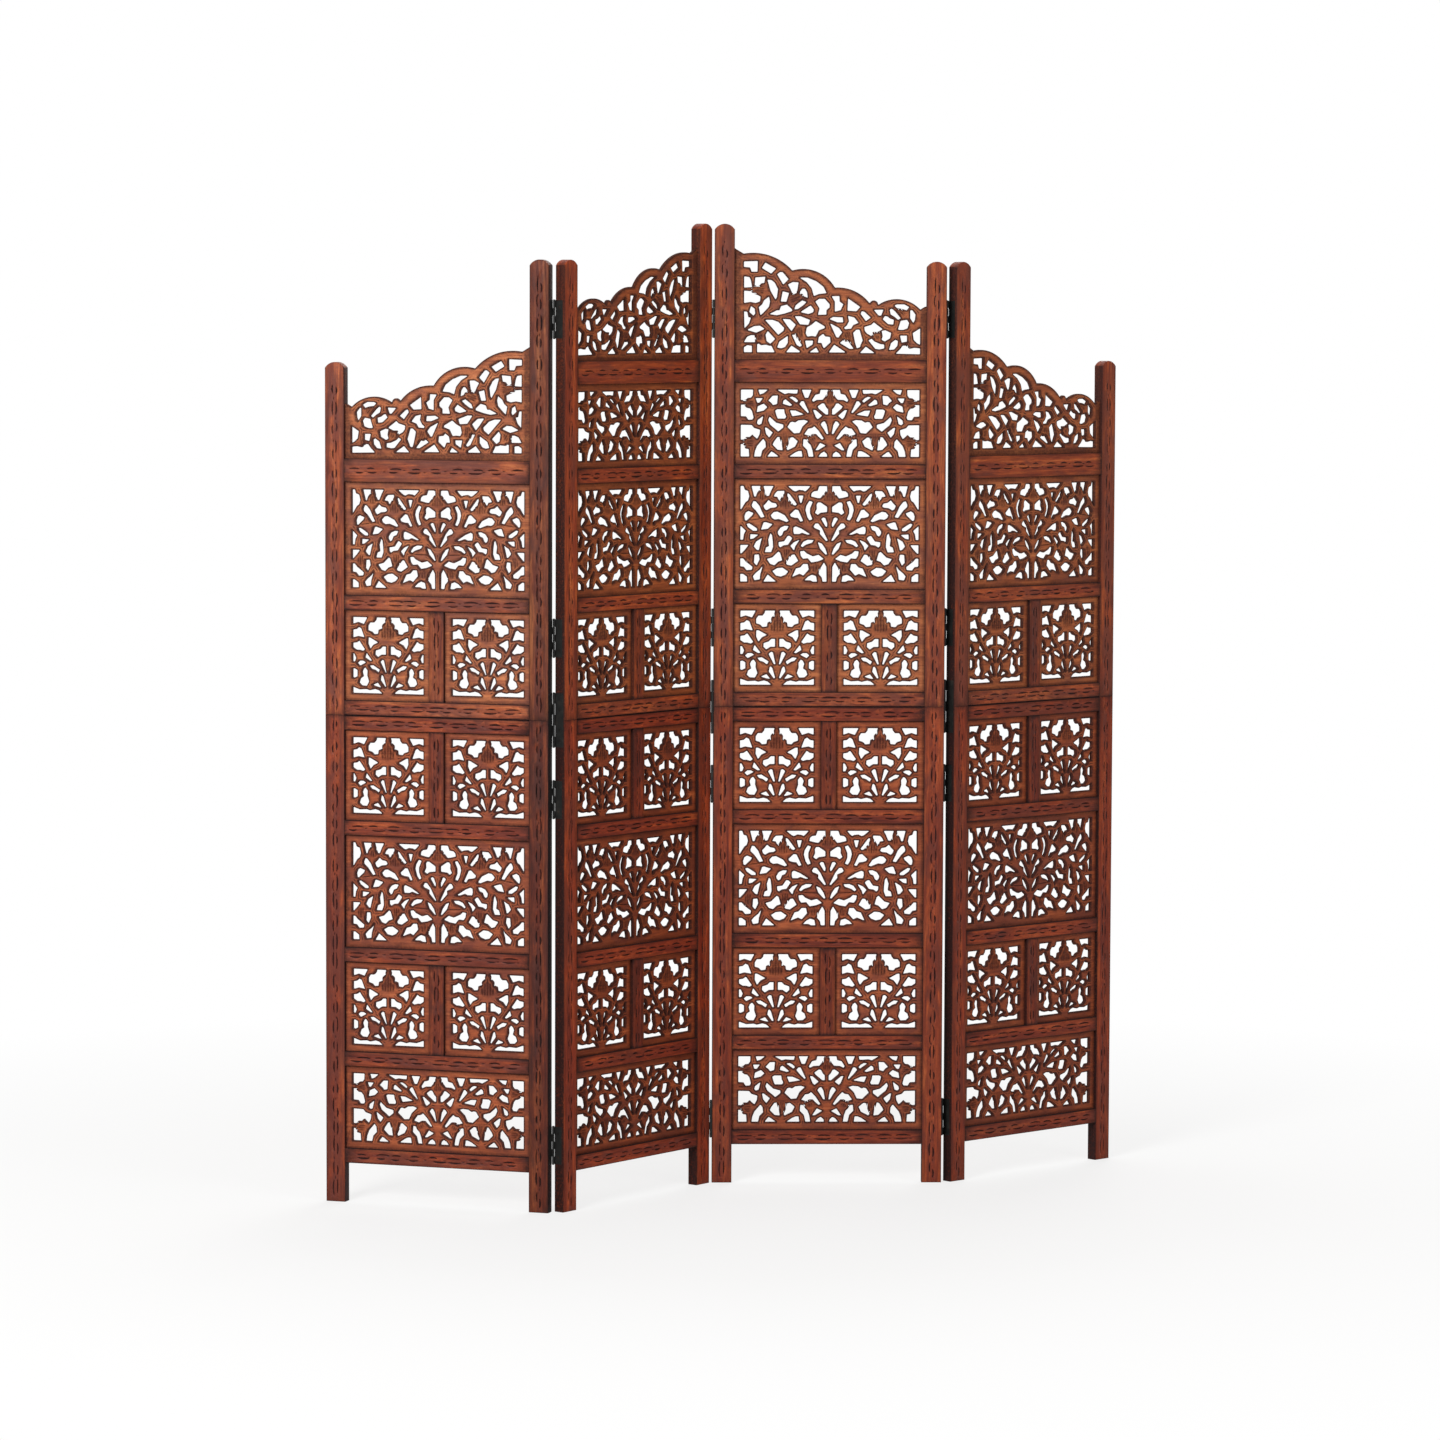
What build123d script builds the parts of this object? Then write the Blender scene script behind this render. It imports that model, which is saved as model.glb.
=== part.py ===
from build123d import *
import os
from collections import namedtuple
from math import atan2, cos, degrees, radians, sin

os.makedirs("parts", exist_ok=True)

# Folding screen of four carved panels. Millimetres, +Z up. The floor is z = 0 and the origin is the
# centre of the footprint. Every panel has its own frame: x runs from its left edge to its right edge,
# y from its front face to its back face.

# frame timber
panel_width = 440.0
frame_thickness = 22.0
stile_width = 38.0
rail_height = 28.0
crest_rail_height = 43.0
muntin_width = 30.0

# rows of fretwork, heights between rails
foot_height = 74.0
short_tree_height = 154.5
large_tree_height = 209.5
tile_height = 168.0

# stile tops, above the crest rail of the panels they stand beside
outer_stile_rise = 178.5
side_fold_stile_rise = 186.0
centre_fold_stile_rise = 256.0
dome_rise = 11.0
dome_shoulder_radius = 5.0
foot_chamfer = 1.5

# joinery
board_thickness = 8.0
housing_depth = 6.0
tenon_backing = 20.0  # stile left beyond a rail's tenon
muntin_tenon_length = 10.0

# fretwork boards: solid margin round the pierced field
side_margin = 12.7
end_margin = 14.0
tile_margin = 13.4

# crest: heights of its two shoulders above the crest rail
crest_tall_shoulder = 210.0
crest_low_shoulder = 101.0
crest_low_landing = 3.0

# hinges: a lug joins each knuckle to its leaf and ends short of the pin's axis
pin_radius = 1.2
knuckle_wall = 1.0
pin_fit = 0.01
swing_fit = 0.05
pin_from_face = 1.2
leaf_thickness = 1.6
leaf_set_back = 0.3
butt_leaf_margin = 5.0  # edge left bare beside a butt hinge's leaf
butt_height = 70.0
connector_leaf_margin = 2.0  # edge left bare beside a connector's leaf
connector_height = 100.0
knuckle_count = 5
knuckle_gap = 0.3
lug_inset = 0.8
lug_overlap = 0.55
lug_short_across = 0.3
lug_short_deep = 0.25
pin_head_height = 1.2
pin_head_set_back = 0.2

# where the butt hinges sit
low_hinge_above_foot = 50.0
hinge_below_seam = 147.0
hinge_above_seam = 151.0
top_hinge_below_stile_top = 109.0

# plates let into the two outer edges
edge_plate_height = 110.0
edge_plate_width = 16.0
edge_plate_thickness = 2.0

# countersunk screws
screw_radius = 1.3
screw_head_radius = 2.6
screw_head_depth = 1.3
screw_length = 14.0
screw_tip_length = 2.0
screw_slot_width = 0.6
screw_slot_depth = 0.7
screw_fit = 0.05
butt_screw_spread = (-22.0, 22.0)
connector_screw_spread = (-38.0, -18.0, 18.0, 38.0)
plate_screw_spread = (-46.0, -20.0, 20.0, 46.0)

# directions in which the four panels run, seen from above, and the side that each fold's pin is on
panel_headings = (-17.6, 52.3, 1.6, 42.6)
fold_names = ("a", "b", "c")
pin_at_front = (False, True, False)

clear_width = panel_width - 2 * stile_width
tile_width = (clear_width - muntin_width) / 2
tenon_length = stile_width - tenon_backing
housing_web = muntin_width - 2 * housing_depth
housing_front = (frame_thickness - board_thickness) / 2
mid_depth = frame_thickness / 2

knuckle_radius = pin_radius + knuckle_wall
pin_head_radius = knuckle_radius - pin_head_set_back
pin_from_edge = knuckle_radius
lug_reach = pin_from_edge - lug_short_across
lug_face_reach = pin_from_face - lug_short_deep
butt_leaf_width = frame_thickness - butt_leaf_margin
connector_leaf_width = frame_thickness - connector_leaf_margin
screw_cone_angle = 2 * degrees(atan2(screw_head_radius - screw_radius, screw_head_depth))

# What is let into one edge of a panel: middle height, height, depth range, thickness, screw heights.
Fitting = namedtuple("Fitting", "centre height low high thickness spread")

# Rows from the bottom up.
lower_rows = ("short_tree", "tiles", "large_tree", "tiles")
outer_upper_rows = ("tiles", "large_tree")
inner_upper_rows = ("tiles", "large_tree", "short_tree")
row_heights = {"short_tree": short_tree_height, "large_tree": large_tree_height, "tiles": tile_height}

# Fretwork drawings. Each opening is one closed outline. The tree fields are symmetric, so only the
# openings of their left half are drawn, from the lower left corner of the field.
large_tree_field = (338.6, 181.5)
large_tree_openings = (
    ((0, 181.5), (5.5, 181.5), (8, 174), (14, 172), (16.5, 162), (14, 154), (9.5, 151), (1, 137), (0, 137)),
    ((21, 181.5), (37.5, 181.5), (36.5, 175), (31.5, 169), (29, 161.5), (26, 161.5)),
    ((43.5, 181.5), (62.5, 181.5), (58, 173), (54, 163), (49.5, 162.5), (46, 173)),
    ((63, 162), (66, 168), (70, 172), (83, 172.5), (83, 168), (77.5, 160), (75, 155.5), (72, 156), (70, 161)),
    ((89, 168), (93, 166), (107, 147), (104, 144.5), (100, 146), (96, 152), (93, 154), (89, 163)),
    ((90, 181.5), (132.5, 181.5), (127, 175), (123, 171.5), (119, 173.5), (111, 174.5), (105, 171.5),
     (101, 172.5)),
    ((110, 163.5), (119.5, 163.5), (116, 150), (113.5, 149.5)),
    ((131, 153.5), (137, 151.5), (132, 139), (132, 130), (136.5, 118.5), (131, 116.5), (127, 123),
     (123.5, 136), (125, 144), (128.5, 150)),
    ((149.5, 181.5), (162.5, 181.5), (163.5, 174), (158.5, 167.5), (151.5, 158.5), (146, 159), (134, 162),
     (135, 168), (139, 171.5), (146.5, 172.5)),
    ((147, 150.5), (152, 150.5), (164.5, 142), (164.5, 132.5), (152, 131), (147, 127), (141.5, 131),
     (145, 138.5), (144.5, 146.5)),
    ((153.5, 119), (157, 122), (161, 121), (165, 110), (164.5, 104), (162, 105)),
    ((139, 105), (142.5, 110.5), (147.5, 110.5), (155, 101), (166, 78), (163, 77.5), (151, 91),
     (151.5, 97.5), (146, 100), (141, 102)),
    ((94, 127.5), (104, 137), (109.5, 136), (119, 115.5), (114, 114), (109.5, 121), (103, 121.5),
     (96, 123.5)),
    ((57.5, 126), (63, 132), (70, 133), (77, 129.5), (84, 126), (91.5, 115), (87, 113.5), (73, 119),
     (65, 118), (60, 121)),
    ((43.5, 144), (49, 149.5), (53, 155), (59, 150), (67, 148.5), (69.5, 143.5), (66, 141), (57, 140),
     (49.5, 135.5), (46, 138)),
    ((24.5, 153), (29, 152), (36, 143.5), (40, 134), (45.5, 123), (39, 121.5), (29, 135.5), (22, 142),
     (21.5, 146)),
    ((10, 131), (15, 134), (24.5, 130), (22, 125.5), (17, 121), (12, 116), (8.5, 116.5), (7.5, 124)),
    ((11.5, 109.5), (16.5, 110.5), (26, 104.5), (31.5, 100.5), (31.5, 96.5), (24, 96.5), (14.5, 103.5)),
    ((39, 98.5), (44, 112.5), (47.5, 113), (61, 109), (52, 100.5)),
    ((0, 106), (10, 96.5), (6.5, 90), (5, 79.5), (0, 79.5)),
    ((19, 90), (34, 89), (25, 82), (18.5, 80.5)),
    ((25.5, 67), (30, 76), (41, 83), (38.5, 75), (35, 59.5), (31, 60.5)),
    ((57, 92), (60, 88), (61.5, 76), (62, 66), (58.5, 56), (46.5, 56), (49, 65), (54.5, 67.5), (53, 80)),
    ((71, 95), (76, 102.5), (84, 106), (91.5, 105.5), (88, 98.5), (82, 96), (79, 88.5), (75, 86),
     (71.5, 90.5)),
    ((101, 103), (105, 105), (116, 100.5), (133, 89.5), (127, 89.5), (117, 93), (112, 90.5), (102, 90.5),
     (100.5, 96)),
    ((72.5, 75), (83, 76.5), (90, 87), (94, 86.5), (98.5, 82.5), (90.5, 70), (82, 69), (76, 65), (73, 68)),
    ((112.5, 79.5), (102, 75), (95, 68), (102, 59), (104, 66.5)),
    ((114.5, 68), (120, 76), (128, 79.5), (139.5, 79), (136, 74), (124, 70), (118, 65.5)),
    ((147, 75.5), (155, 72), (161.5, 62.5), (165, 52), (162, 51.5), (151.5, 63)),
    ((113.5, 57.5), (121, 58.5), (126, 53.5), (138, 48), (148.5, 51), (158.5, 43), (147, 38.5),
     (135, 36.5), (128.5, 44.5), (119, 43.5), (115, 49)),
    ((50.5, 43), (61, 46), (68, 53), (72, 57), (75.5, 54.5), (79.5, 40.5), (72, 38), (65, 31), (57, 33.5)),
    ((87, 35), (92, 43), (98, 51), (103, 51.5), (110, 39.5), (97, 30.5), (89, 32)),
    ((27, 51), (35, 51.5), (36.5, 42), (31, 30.5), (26, 36)),
    ((0, 69.5), (15.5, 69.5), (9, 61), (2, 53.5), (0, 53.5)),
    ((0, 44), (5, 44), (10, 38), (23, 28), (22, 22.5), (12, 21.5), (7, 28), (0, 29)),
    ((0, 0), (13, 0), (12.5, 9), (5, 14.5), (0, 14.5)),
    ((43, 31), (38, 14), (37, 4), (27, 2.5), (24, 10), (29, 16), (37, 22.5)),
    ((44, 0), (68, 0), (56, 10), (52, 13.5)),
    ((61, 20), (70, 25.5), (80, 26.5), (91, 19), (86, 13), (77, 9.5), (68, 11.5)),
    ((98.5, 9), (106, 25), (114, 27), (119.5, 33.5), (128, 33.5), (130, 23), (120, 11.5), (113, 15)),
    ((122, 2.5), (129, 9.5), (136, 13), (144, 10.5), (146, 0), (138, 0), (133, 2.5)),
    ((159, 36.5), (163.5, 28), (164, 0), (156.5, 0), (155, 8), (149, 15), (153, 26.5)),
)

short_tree_field = (338.6, 126.5)
short_tree_openings = (
    ((0, 126.5), (23, 126.5), (22.5, 116), (19, 111.5), (13, 111), (9, 107.5), (0, 107)),
    ((33, 126.5), (51, 126.5), (43, 120), (36, 117.5)),
    ((28, 110.5), (41.5, 110.5), (35, 102), (31, 102)),
    ((52, 106), (60, 115), (70, 115.5), (68.5, 99.5), (61, 97.5), (57.5, 102)),
    ((30, 84), (32, 95), (43, 100), (50, 93.5), (43, 87)),
    ((79.5, 100), (80.5, 106), (84.5, 108.5), (97.5, 97.5), (93, 96)),
    ((91.5, 112.5), (98, 113.5), (104, 110.5), (108.5, 105.5), (105.5, 102.5)),
    ((69, 126.5), (108, 126.5), (106.5, 119.5), (100, 119.5), (90, 120.5), (83, 118.5)),
    ((115.5, 126.5), (133.5, 126.5), (127.5, 111.5), (121.5, 111.5)),
    ((151, 126.5), (165.5, 126.5), (160, 114), (155, 108), (144, 107.5), (137, 104), (135, 107),
     (141, 117), (149.5, 119)),
    ((65, 87), (69, 89.5), (82, 89.5), (83, 82), (86, 76), (84, 72), (70, 72), (67.5, 78)),
    ((93, 87.5), (104, 87), (119.5, 80), (97.5, 76.5)),
    ((111, 100), (115, 105), (119, 105), (129, 84), (127, 82.5), (118, 91.5)),
    ((137, 88.5), (142, 88), (154, 77.5), (146, 71), (142.5, 74.5)),
    ((145.5, 95), (154, 101), (158, 100.5), (162, 93), (165.5, 89.5), (165.5, 80), (161, 80), (148, 91)),
    ((0, 98), (4.5, 98), (11, 92), (17, 91), (21, 86), (24, 74), (22, 70), (14, 69.5), (10, 76),
     (0, 76.5)),
    ((42.5, 77), (39, 62), (34, 60), (30.5, 63), (32, 69)),
    ((54.5, 75.5), (58, 72), (67, 64), (80.5, 60.5), (80.5, 55), (71, 47.5), (66, 52), (56, 60),
     (52, 69)),
    ((88.5, 56), (94, 65), (98, 66), (103, 64.5), (109, 68.5), (120, 69.5), (127.5, 67), (117, 57),
     (111.5, 45), (101, 44), (96, 49)),
    ((120.5, 42.5), (128, 53), (135, 54), (139.5, 57.5), (148, 48.5), (157.5, 34), (154, 32.5),
     (147, 38.5), (143, 43), (136, 43), (130, 39.5)),
    ((151.5, 61), (155, 66), (159, 67), (163, 60), (166, 43), (163, 43), (158, 51.5)),
    ((0, 60), (20.5, 59.5), (25, 54), (36.5, 50.5), (35.5, 42), (31, 33.5), (25, 38.5), (22, 42),
     (17, 37), (10, 37), (6, 32), (0, 32)),
    ((45.5, 55), (49, 54.5), (60.5, 45.5), (54, 36), (48, 43)),
    ((42.5, 33.5), (46.5, 28), (47.5, 18), (40.5, 11), (38, 0), (25.5, 0), (27, 10), (31, 20)),
    ((0, 23.5), (5, 23), (8.5, 15), (15, 14), (16, 0), (0, 0)),
    ((69.5, 37), (73, 36.5), (78, 22), (79.5, 12), (70, 13), (60.5, 22.5), (63, 28)),
    ((94, 36), (99, 36.5), (108, 29), (103, 19), (89, 12), (87, 15), (91, 24)),
    ((50.5, 0), (72, 0), (62, 7.5), (58, 9.5)),
    ((92, 0), (103, 7.5), (110, 10.5), (115.5, 10.5), (117, 0)),
    ((119, 33), (125, 32), (128, 26), (132.5, 22), (136, 12), (138, 0), (129, 0), (126, 13), (118, 21)),
    ((141.5, 12), (150.5, 26), (161, 21), (147, 12.5)),
    ((147.5, 0), (152.5, 6.5), (158, 9.5), (163, 5.5), (164.5, 0)),
)

lotus_field = (140.5, 140.5)
lotus_openings = (
    ((0, 140.5), (29, 140.5), (22, 127.5), (10, 131.5), (0, 128)),
    ((0, 117), (7, 118), (12, 122.5), (17, 120), (23.5, 103), (10, 105.5), (0, 102.5)),
    ((0, 92.5), (7.5, 93.5), (13, 97.5), (24.5, 81), (20, 78), (13, 80), (7, 80), (0, 84.5)),
    ((47, 140.5), (66, 140.5), (63, 131), (59, 127.5), (57, 120), (51.5, 118), (50.5, 110.5),
     (42, 109.5), (38, 114), (30, 116.5), (30, 125), (34, 131), (42, 131), (46, 136)),
    ((30.5, 103.5), (35, 103), (50.5, 94.5), (41, 90), (34.5, 81.5), (30, 92)),
    ((44.5, 79), (54, 82), (59, 87), (66, 87), (66, 72), (57, 72), (49.5, 67), (44, 72)),
    ((27, 75.5), (38.5, 60.5), (34, 60), (24, 66)),
    ((0, 73.5), (3, 73), (7, 65), (4.5, 58.5), (0, 58)),
    ((9, 55.5), (14, 60), (21, 60), (26.5, 57), (14, 50.5)),
    ((0, 45), (4, 45.5), (9.5, 42.5), (9.5, 31), (3, 28), (0, 29)),
    ((25, 48), (29.5, 42), (29, 33), (32.5, 22), (28, 13.5), (18, 14), (12.5, 19), (15, 27), (21, 31),
     (18.5, 39.5), (21, 45)),
    ((32.5, 51), (41, 52), (54, 44), (51, 38.5), (44, 43.5), (37, 45.5)),
    ((54, 58.5), (58.5, 62.5), (62, 61.5), (67, 39), (64.5, 38.5)),
    ((58, 35), (61, 31.5), (66.5, 13), (64, 12), (54.5, 25), (56, 33)),
    ((39, 15.5), (50, 20), (57, 11), (50, 12)),
    ((0, 11.5), (14, 6.5), (28, 7.5), (34, 5.5), (45, 8), (52, 6), (59, 0), (0, 0)),
)

# The crest is drawn with its tall side on the left, from the left stile's inner edge and the top of
# the crest rail. Its top edge is a chain of arcs, each given by its middle point and its end.
crest_clear_width = 364.0
crest_start = (17, 200)
crest_lobes = (
    ((68, 196), (109, 168.5)),
    ((153, 167.5), (190, 136.5)),
    ((226, 130.5), (256, 107)),
    ((264.5, 112.5), (272, 104)),
    ((316, 114.5), (352, 95.5)),
)
crest_openings = (
    ((17.5, 185), (43.5, 186), (43, 166), (32, 166), (29, 174), (17.5, 175)),
    ((58, 183), (78, 172), (69, 162.5), (51.5, 173)),
    ((80.5, 161), (86, 165.5), (91, 165), (102, 152), (92, 142)),
    ((18, 157), (28, 155.5), (30.5, 150), (33, 137), (18, 136)),
    ((39, 155), (58, 156.5), (56, 145), (50, 144), (47, 140), (38, 140)),
    ((62, 151), (70, 150), (76, 145), (82, 133), (80, 118), (77.5, 113.5), (68, 130)),
    ((91, 129), (103, 126), (98, 109.5), (87.5, 110)),
    ((101, 142), (110, 146.5), (121, 146), (118.5, 130), (115, 125), (109, 126), (105, 135)),
    ((123, 127), (128, 134), (133, 134), (137, 128), (138.5, 117), (131, 120), (129, 124)),
    ((123, 155), (138, 155), (155, 148), (168, 138), (174, 126), (160, 124.5), (150, 120.5), (146, 135),
     (136, 147)),
    ((18, 130), (31, 129), (34, 125), (43, 122), (49, 119), (48, 110), (40, 107), (30, 109), (18, 107)),
    ((46, 99), (52, 104), (56, 112), (65, 119), (67, 110), (65, 100), (54, 88), (49, 84)),
    ((31, 101), (38, 96), (39, 87), (36, 83), (28, 90)),
    ((18, 91), (24, 90), (26, 80), (31, 79), (27, 68), (19, 59)),
    ((66, 86), (80, 93), (85, 93), (88, 101), (99, 104), (109, 95), (109, 92), (94, 87), (80, 84)),
    ((113, 95), (116, 103), (128, 112), (136, 109), (130, 103), (120, 96)),
    ((125, 90), (134, 96), (144, 102.5), (150, 95), (149, 90), (140, 86.5)),
    ((153, 110), (160, 115), (171, 115), (180, 105), (180, 99), (174, 94), (174, 85.5), (158, 85),
     (161, 97)),
    ((58, 75), (72, 75), (83, 71), (94, 60), (93, 55), (83, 47), (74, 57)),
    ((91, 77), (105, 76), (116, 66), (108, 54), (100, 64)),
    ((114, 82), (125, 82), (143, 75), (140, 66), (124, 67)),
    ((154, 73), (171, 63), (171, 60), (160, 56), (154, 44), (147, 45), (138, 44), (135, 50), (137, 61),
     (146, 66)),
    ((24, 56), (37, 63), (48, 64), (57, 58), (41, 51)),
    ((18, 33), (24, 43), (31, 46), (38, 46), (39, 33)),
    ((18, 23), (24, 27), (33, 26), (33, 14), (18, 14)),
    ((59, 47), (63, 54), (77, 39), (68, 30), (61, 35)),
    ((43, 29), (46, 30), (50, 27), (60, 28), (66, 26), (70, 26), (76, 14), (43, 14)),
    ((81, 23), (85, 34), (101, 45), (101, 32), (96, 24), (89, 21.5)),
    ((109, 47), (116, 47), (118, 40), (123, 35), (128, 27), (124, 24.5), (118, 28)),
    ((98, 14), (108, 26.5), (124, 16), (123, 14)),
    ((134, 36), (149, 36), (148, 29), (137, 22)),
    ((142, 14), (155, 23), (160, 14)),
    ((158, 32), (160, 43), (168, 49), (172, 44), (181, 43), (182, 33), (170, 22), (168, 24), (165, 32)),
    ((184, 120), (198.5, 120.5), (199, 110), (206, 105), (201, 94), (190, 91), (190, 110)),
    ((215, 116), (238, 100), (231, 92), (214, 93)),
    ((241, 92), (246, 91), (258, 80), (249, 73.5), (239, 87)),
    ((264, 94.5), (282, 95), (278, 84), (273, 84)),
    ((215, 83), (227, 80), (235, 70), (225, 66), (221, 59), (209, 58), (208, 61), (213, 65), (217, 73)),
    ((180, 77), (187, 81), (205, 80), (206, 71), (195, 71)),
    ((181, 69), (198, 60), (204, 52), (197, 42), (193, 43)),
    ((225, 51), (231, 57), (237, 57), (243, 37), (239, 28), (238, 24), (232, 22), (229, 31), (227, 41)),
    ((200, 32), (206, 37), (210, 34), (216, 35), (220, 29), (226, 21), (218, 21)),
    ((246, 62), (252, 64), (259, 66), (264, 71), (281, 58), (271, 53), (262, 53), (260, 45), (251, 50),
     (247, 55)),
    ((279, 55), (286, 56), (297, 51), (295, 41), (285, 35), (279, 38), (281, 45)),
    ((254, 37), (260, 40), (265, 35), (276, 30), (284, 29), (284, 22), (275, 20), (267, 21)),
    ((303, 103), (308, 105), (322, 105), (331, 100), (326, 94), (317, 97), (308, 98)),
    ((294, 95), (298, 97), (304, 92), (310, 85), (315, 79), (310, 76), (303, 82), (296, 86)),
    ((333, 94), (337, 94), (343, 86), (342, 76), (339, 70), (333, 79)),
    ((281, 77), (285, 83), (290, 82), (295, 78), (302, 76), (301, 67), (291, 68)),
    ((310, 58), (315, 74), (327, 76), (331, 70), (328, 60), (320, 57), (312, 57)),
    ((314, 46), (327, 46), (327, 35), (317, 33)),
    ((293, 19), (297, 32), (305, 38), (310, 36), (309, 27), (303, 20)),
    ((338, 51), (352, 60), (352, 29), (346, 32), (340, 38)),
    ((306, 12), (314, 20), (319, 27), (325, 27), (332, 21), (341, 23), (352, 22), (352, 11)),
    ((179, 14), (189, 28.5), (211, 14)),
    ((238, 13), (249, 25), (266, 13)),
)


def mirrored(openings, width):
    """The same openings seen from the other side of a field of this width."""
    return tuple(tuple((width - x, z) for x, z in outline) for outline in openings)


def pierce(openings, corner, scale):
    """Cut every outline out of the current sketch, as one operation."""
    cuts = []
    for outline in openings:
        points = [(corner[0] + x * scale[0], corner[1] + z * scale[1]) for x, z in outline]
        cuts.append(Polygon(*points, align=None, mode=Mode.PRIVATE))
    add(cuts, mode=Mode.SUBTRACT)


def fret_board(width, height, field, openings, margins):
    """A pierced board with its housed edges, its clear opening starting at x = 0, z = 0."""
    scale = ((width - 2 * margins[0]) / field[0], (height - 2 * margins[1]) / field[1])
    with BuildPart() as board:
        with BuildSketch(Plane.XZ.offset(-housing_front)):
            with Locations((width / 2, height / 2)):
                Rectangle(width + 2 * housing_depth, height + 2 * housing_depth)
            pierce(openings + mirrored(openings, field[0]), margins, scale)
        extrude(amount=-board_thickness)
    return board.part


def crest_board(tall_left):
    """The stepped crest board, housed in the crest rail and, up to its shoulders, in both stiles."""
    scale = clear_width / crest_clear_width

    def place(point):
        return (point[0] * scale if tall_left else clear_width - point[0] * scale, point[1])

    with BuildPart() as board:
        with BuildSketch(Plane.XZ.offset(-housing_front)):
            with BuildLine():
                far_side = crest_clear_width + housing_depth / scale
                near_side = -housing_depth / scale
                Polyline(
                    place(crest_lobes[-1][1]),
                    place((crest_clear_width - crest_low_landing, crest_low_shoulder)),
                    place((far_side, crest_low_shoulder)),
                    place((far_side, -housing_depth)),
                    place((near_side, -housing_depth)),
                    place((near_side, crest_tall_shoulder)),
                    place((0, crest_tall_shoulder)),
                    place(crest_start),
                )
                start = crest_start
                for middle, end in crest_lobes:
                    ThreePointArc(place(start), place(middle), place(end))
                    start = end
            make_face()
            cuts = tuple(tuple(place(point) for point in outline) for outline in crest_openings)
            pierce(cuts, (0, 0), (1, 1))
        extrude(amount=-board_thickness)
    return board.part


def rail_stack(base, rows, top_rail_height):
    """Bottoms and heights of the rails, and kinds, bottoms and heights of the openings between them."""
    rails = []
    openings = []
    level = base
    for row in rows:
        rails.append((level, rail_height))
        level += rail_height
        openings.append((row, level, row_heights[row]))
        level += row_heights[row]
    rails.append((level, top_rail_height))
    return rails, openings, level + top_rail_height


lower_rails, lower_openings, seam_height = rail_stack(foot_height, lower_rows, rail_height)
outer_stack = rail_stack(seam_height, outer_upper_rows, crest_rail_height)
inner_stack = rail_stack(seam_height, inner_upper_rows, crest_rail_height)
upper_stacks = (outer_stack, inner_stack, inner_stack, outer_stack)

outer_stile_top = outer_stack[2] + outer_stile_rise
side_fold_stile_top = inner_stack[2] + side_fold_stile_rise
centre_fold_stile_top = inner_stack[2] + centre_fold_stile_rise
stile_tops = (
    (outer_stile_top, side_fold_stile_top),
    (side_fold_stile_top, centre_fold_stile_top),
    (centre_fold_stile_top, side_fold_stile_top),
    (side_fold_stile_top, outer_stile_top),
)
crest_tall_left = (False, False, True, True)

# Hinges of a fold: centre, height, leaf width and screw places.
butt_centres = (
    foot_height + low_hinge_above_foot,
    seam_height - hinge_below_seam,
    seam_height + hinge_above_seam,
    side_fold_stile_top - top_hinge_below_stile_top,
)
fold_hinges = [(centre, butt_height, butt_leaf_width, butt_screw_spread) for centre in butt_centres]
fold_hinges.append((seam_height, connector_height, connector_leaf_width, connector_screw_spread))


def turned(heading):
    return Plane((0, 0, 0), x_dir=(cos(radians(heading)), sin(radians(heading)), 0), z_dir=(0, 0, 1))


def pin_depth(at_front):
    return -pin_from_face if at_front else frame_thickness + pin_from_face


def place_panels():
    """The panels' frames at their lower front left corners, worked out from pin to pin. The origin is the
    centre of the footprint."""
    right_pins = [Vector(panel_width + pin_from_edge, pin_depth(front), 0) for front in pin_at_front]
    left_pins = [Vector(-pin_from_edge, pin_depth(front), 0) for front in pin_at_front]
    frames = [turned(heading) for heading in panel_headings]
    corners = [Vector(0, 0, 0)]
    for fold in range(3):
        pin = corners[fold] + frames[fold].from_local_coords(right_pins[fold])
        corners.append(pin - frames[fold + 1].from_local_coords(left_pins[fold]))
    outline = []
    for corner, frame in zip(corners, frames):
        for x in (0, panel_width):
            for y in (0, frame_thickness):
                outline.append(corner + frame.from_local_coords(Vector(x, y, 0)))
    centre_x = (min(point.X for point in outline) + max(point.X for point in outline)) / 2
    centre_y = (min(point.Y for point in outline) + max(point.Y for point in outline)) / 2
    placed = []
    for corner, frame in zip(corners, frames):
        corner = corner - Vector(centre_x, centre_y, 0)
        placed.append(Plane(corner, x_dir=frame.x_dir, z_dir=(0, 0, 1)))
    return placed


panel_planes = place_panels()


def front_plane(panel):
    """The panel's front face, x along the panel and y up."""
    plane = panel_planes[panel]
    return Plane(plane.origin, x_dir=plane.x_dir, z_dir=-plane.y_dir)


def edge_plane(right, depth, height):
    """A plane on the left or right edge of a panel, in the panel's frame, looking out of the edge."""
    edge_x = panel_width if right else 0.0
    outward = (1, 0, 0) if right else (-1, 0, 0)
    return Plane((edge_x, depth, height), x_dir=(0, 0, 1), z_dir=outward)


def edge_fittings(panel, right):
    """What is let into one long edge of a panel."""
    is_outer_edge = (panel == 0 and not right) or (panel == 3 and right)
    if is_outer_edge:
        low = mid_depth - edge_plate_width / 2
        high = mid_depth + edge_plate_width / 2
        return [Fitting(seam_height, edge_plate_height, low, high, edge_plate_thickness, plate_screw_spread)]
    at_front = pin_at_front[panel if right else panel - 1]
    fittings = []
    for centre, height, leaf_width, spread in fold_hinges:
        low = 0.0 if at_front else frame_thickness - leaf_width
        fittings.append(Fitting(centre, height, low, low + leaf_width, leaf_thickness, spread))
    return fittings


def screw_planes(right, fitting, bottom, top):
    """Planes of those of a fitting's screws that stand between two heights."""
    depth = (fitting.low + fitting.high) / 2
    levels = [fitting.centre + offset for offset in fitting.spread]
    return [edge_plane(right, depth, level) for level in levels if bottom < level < top]


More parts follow.
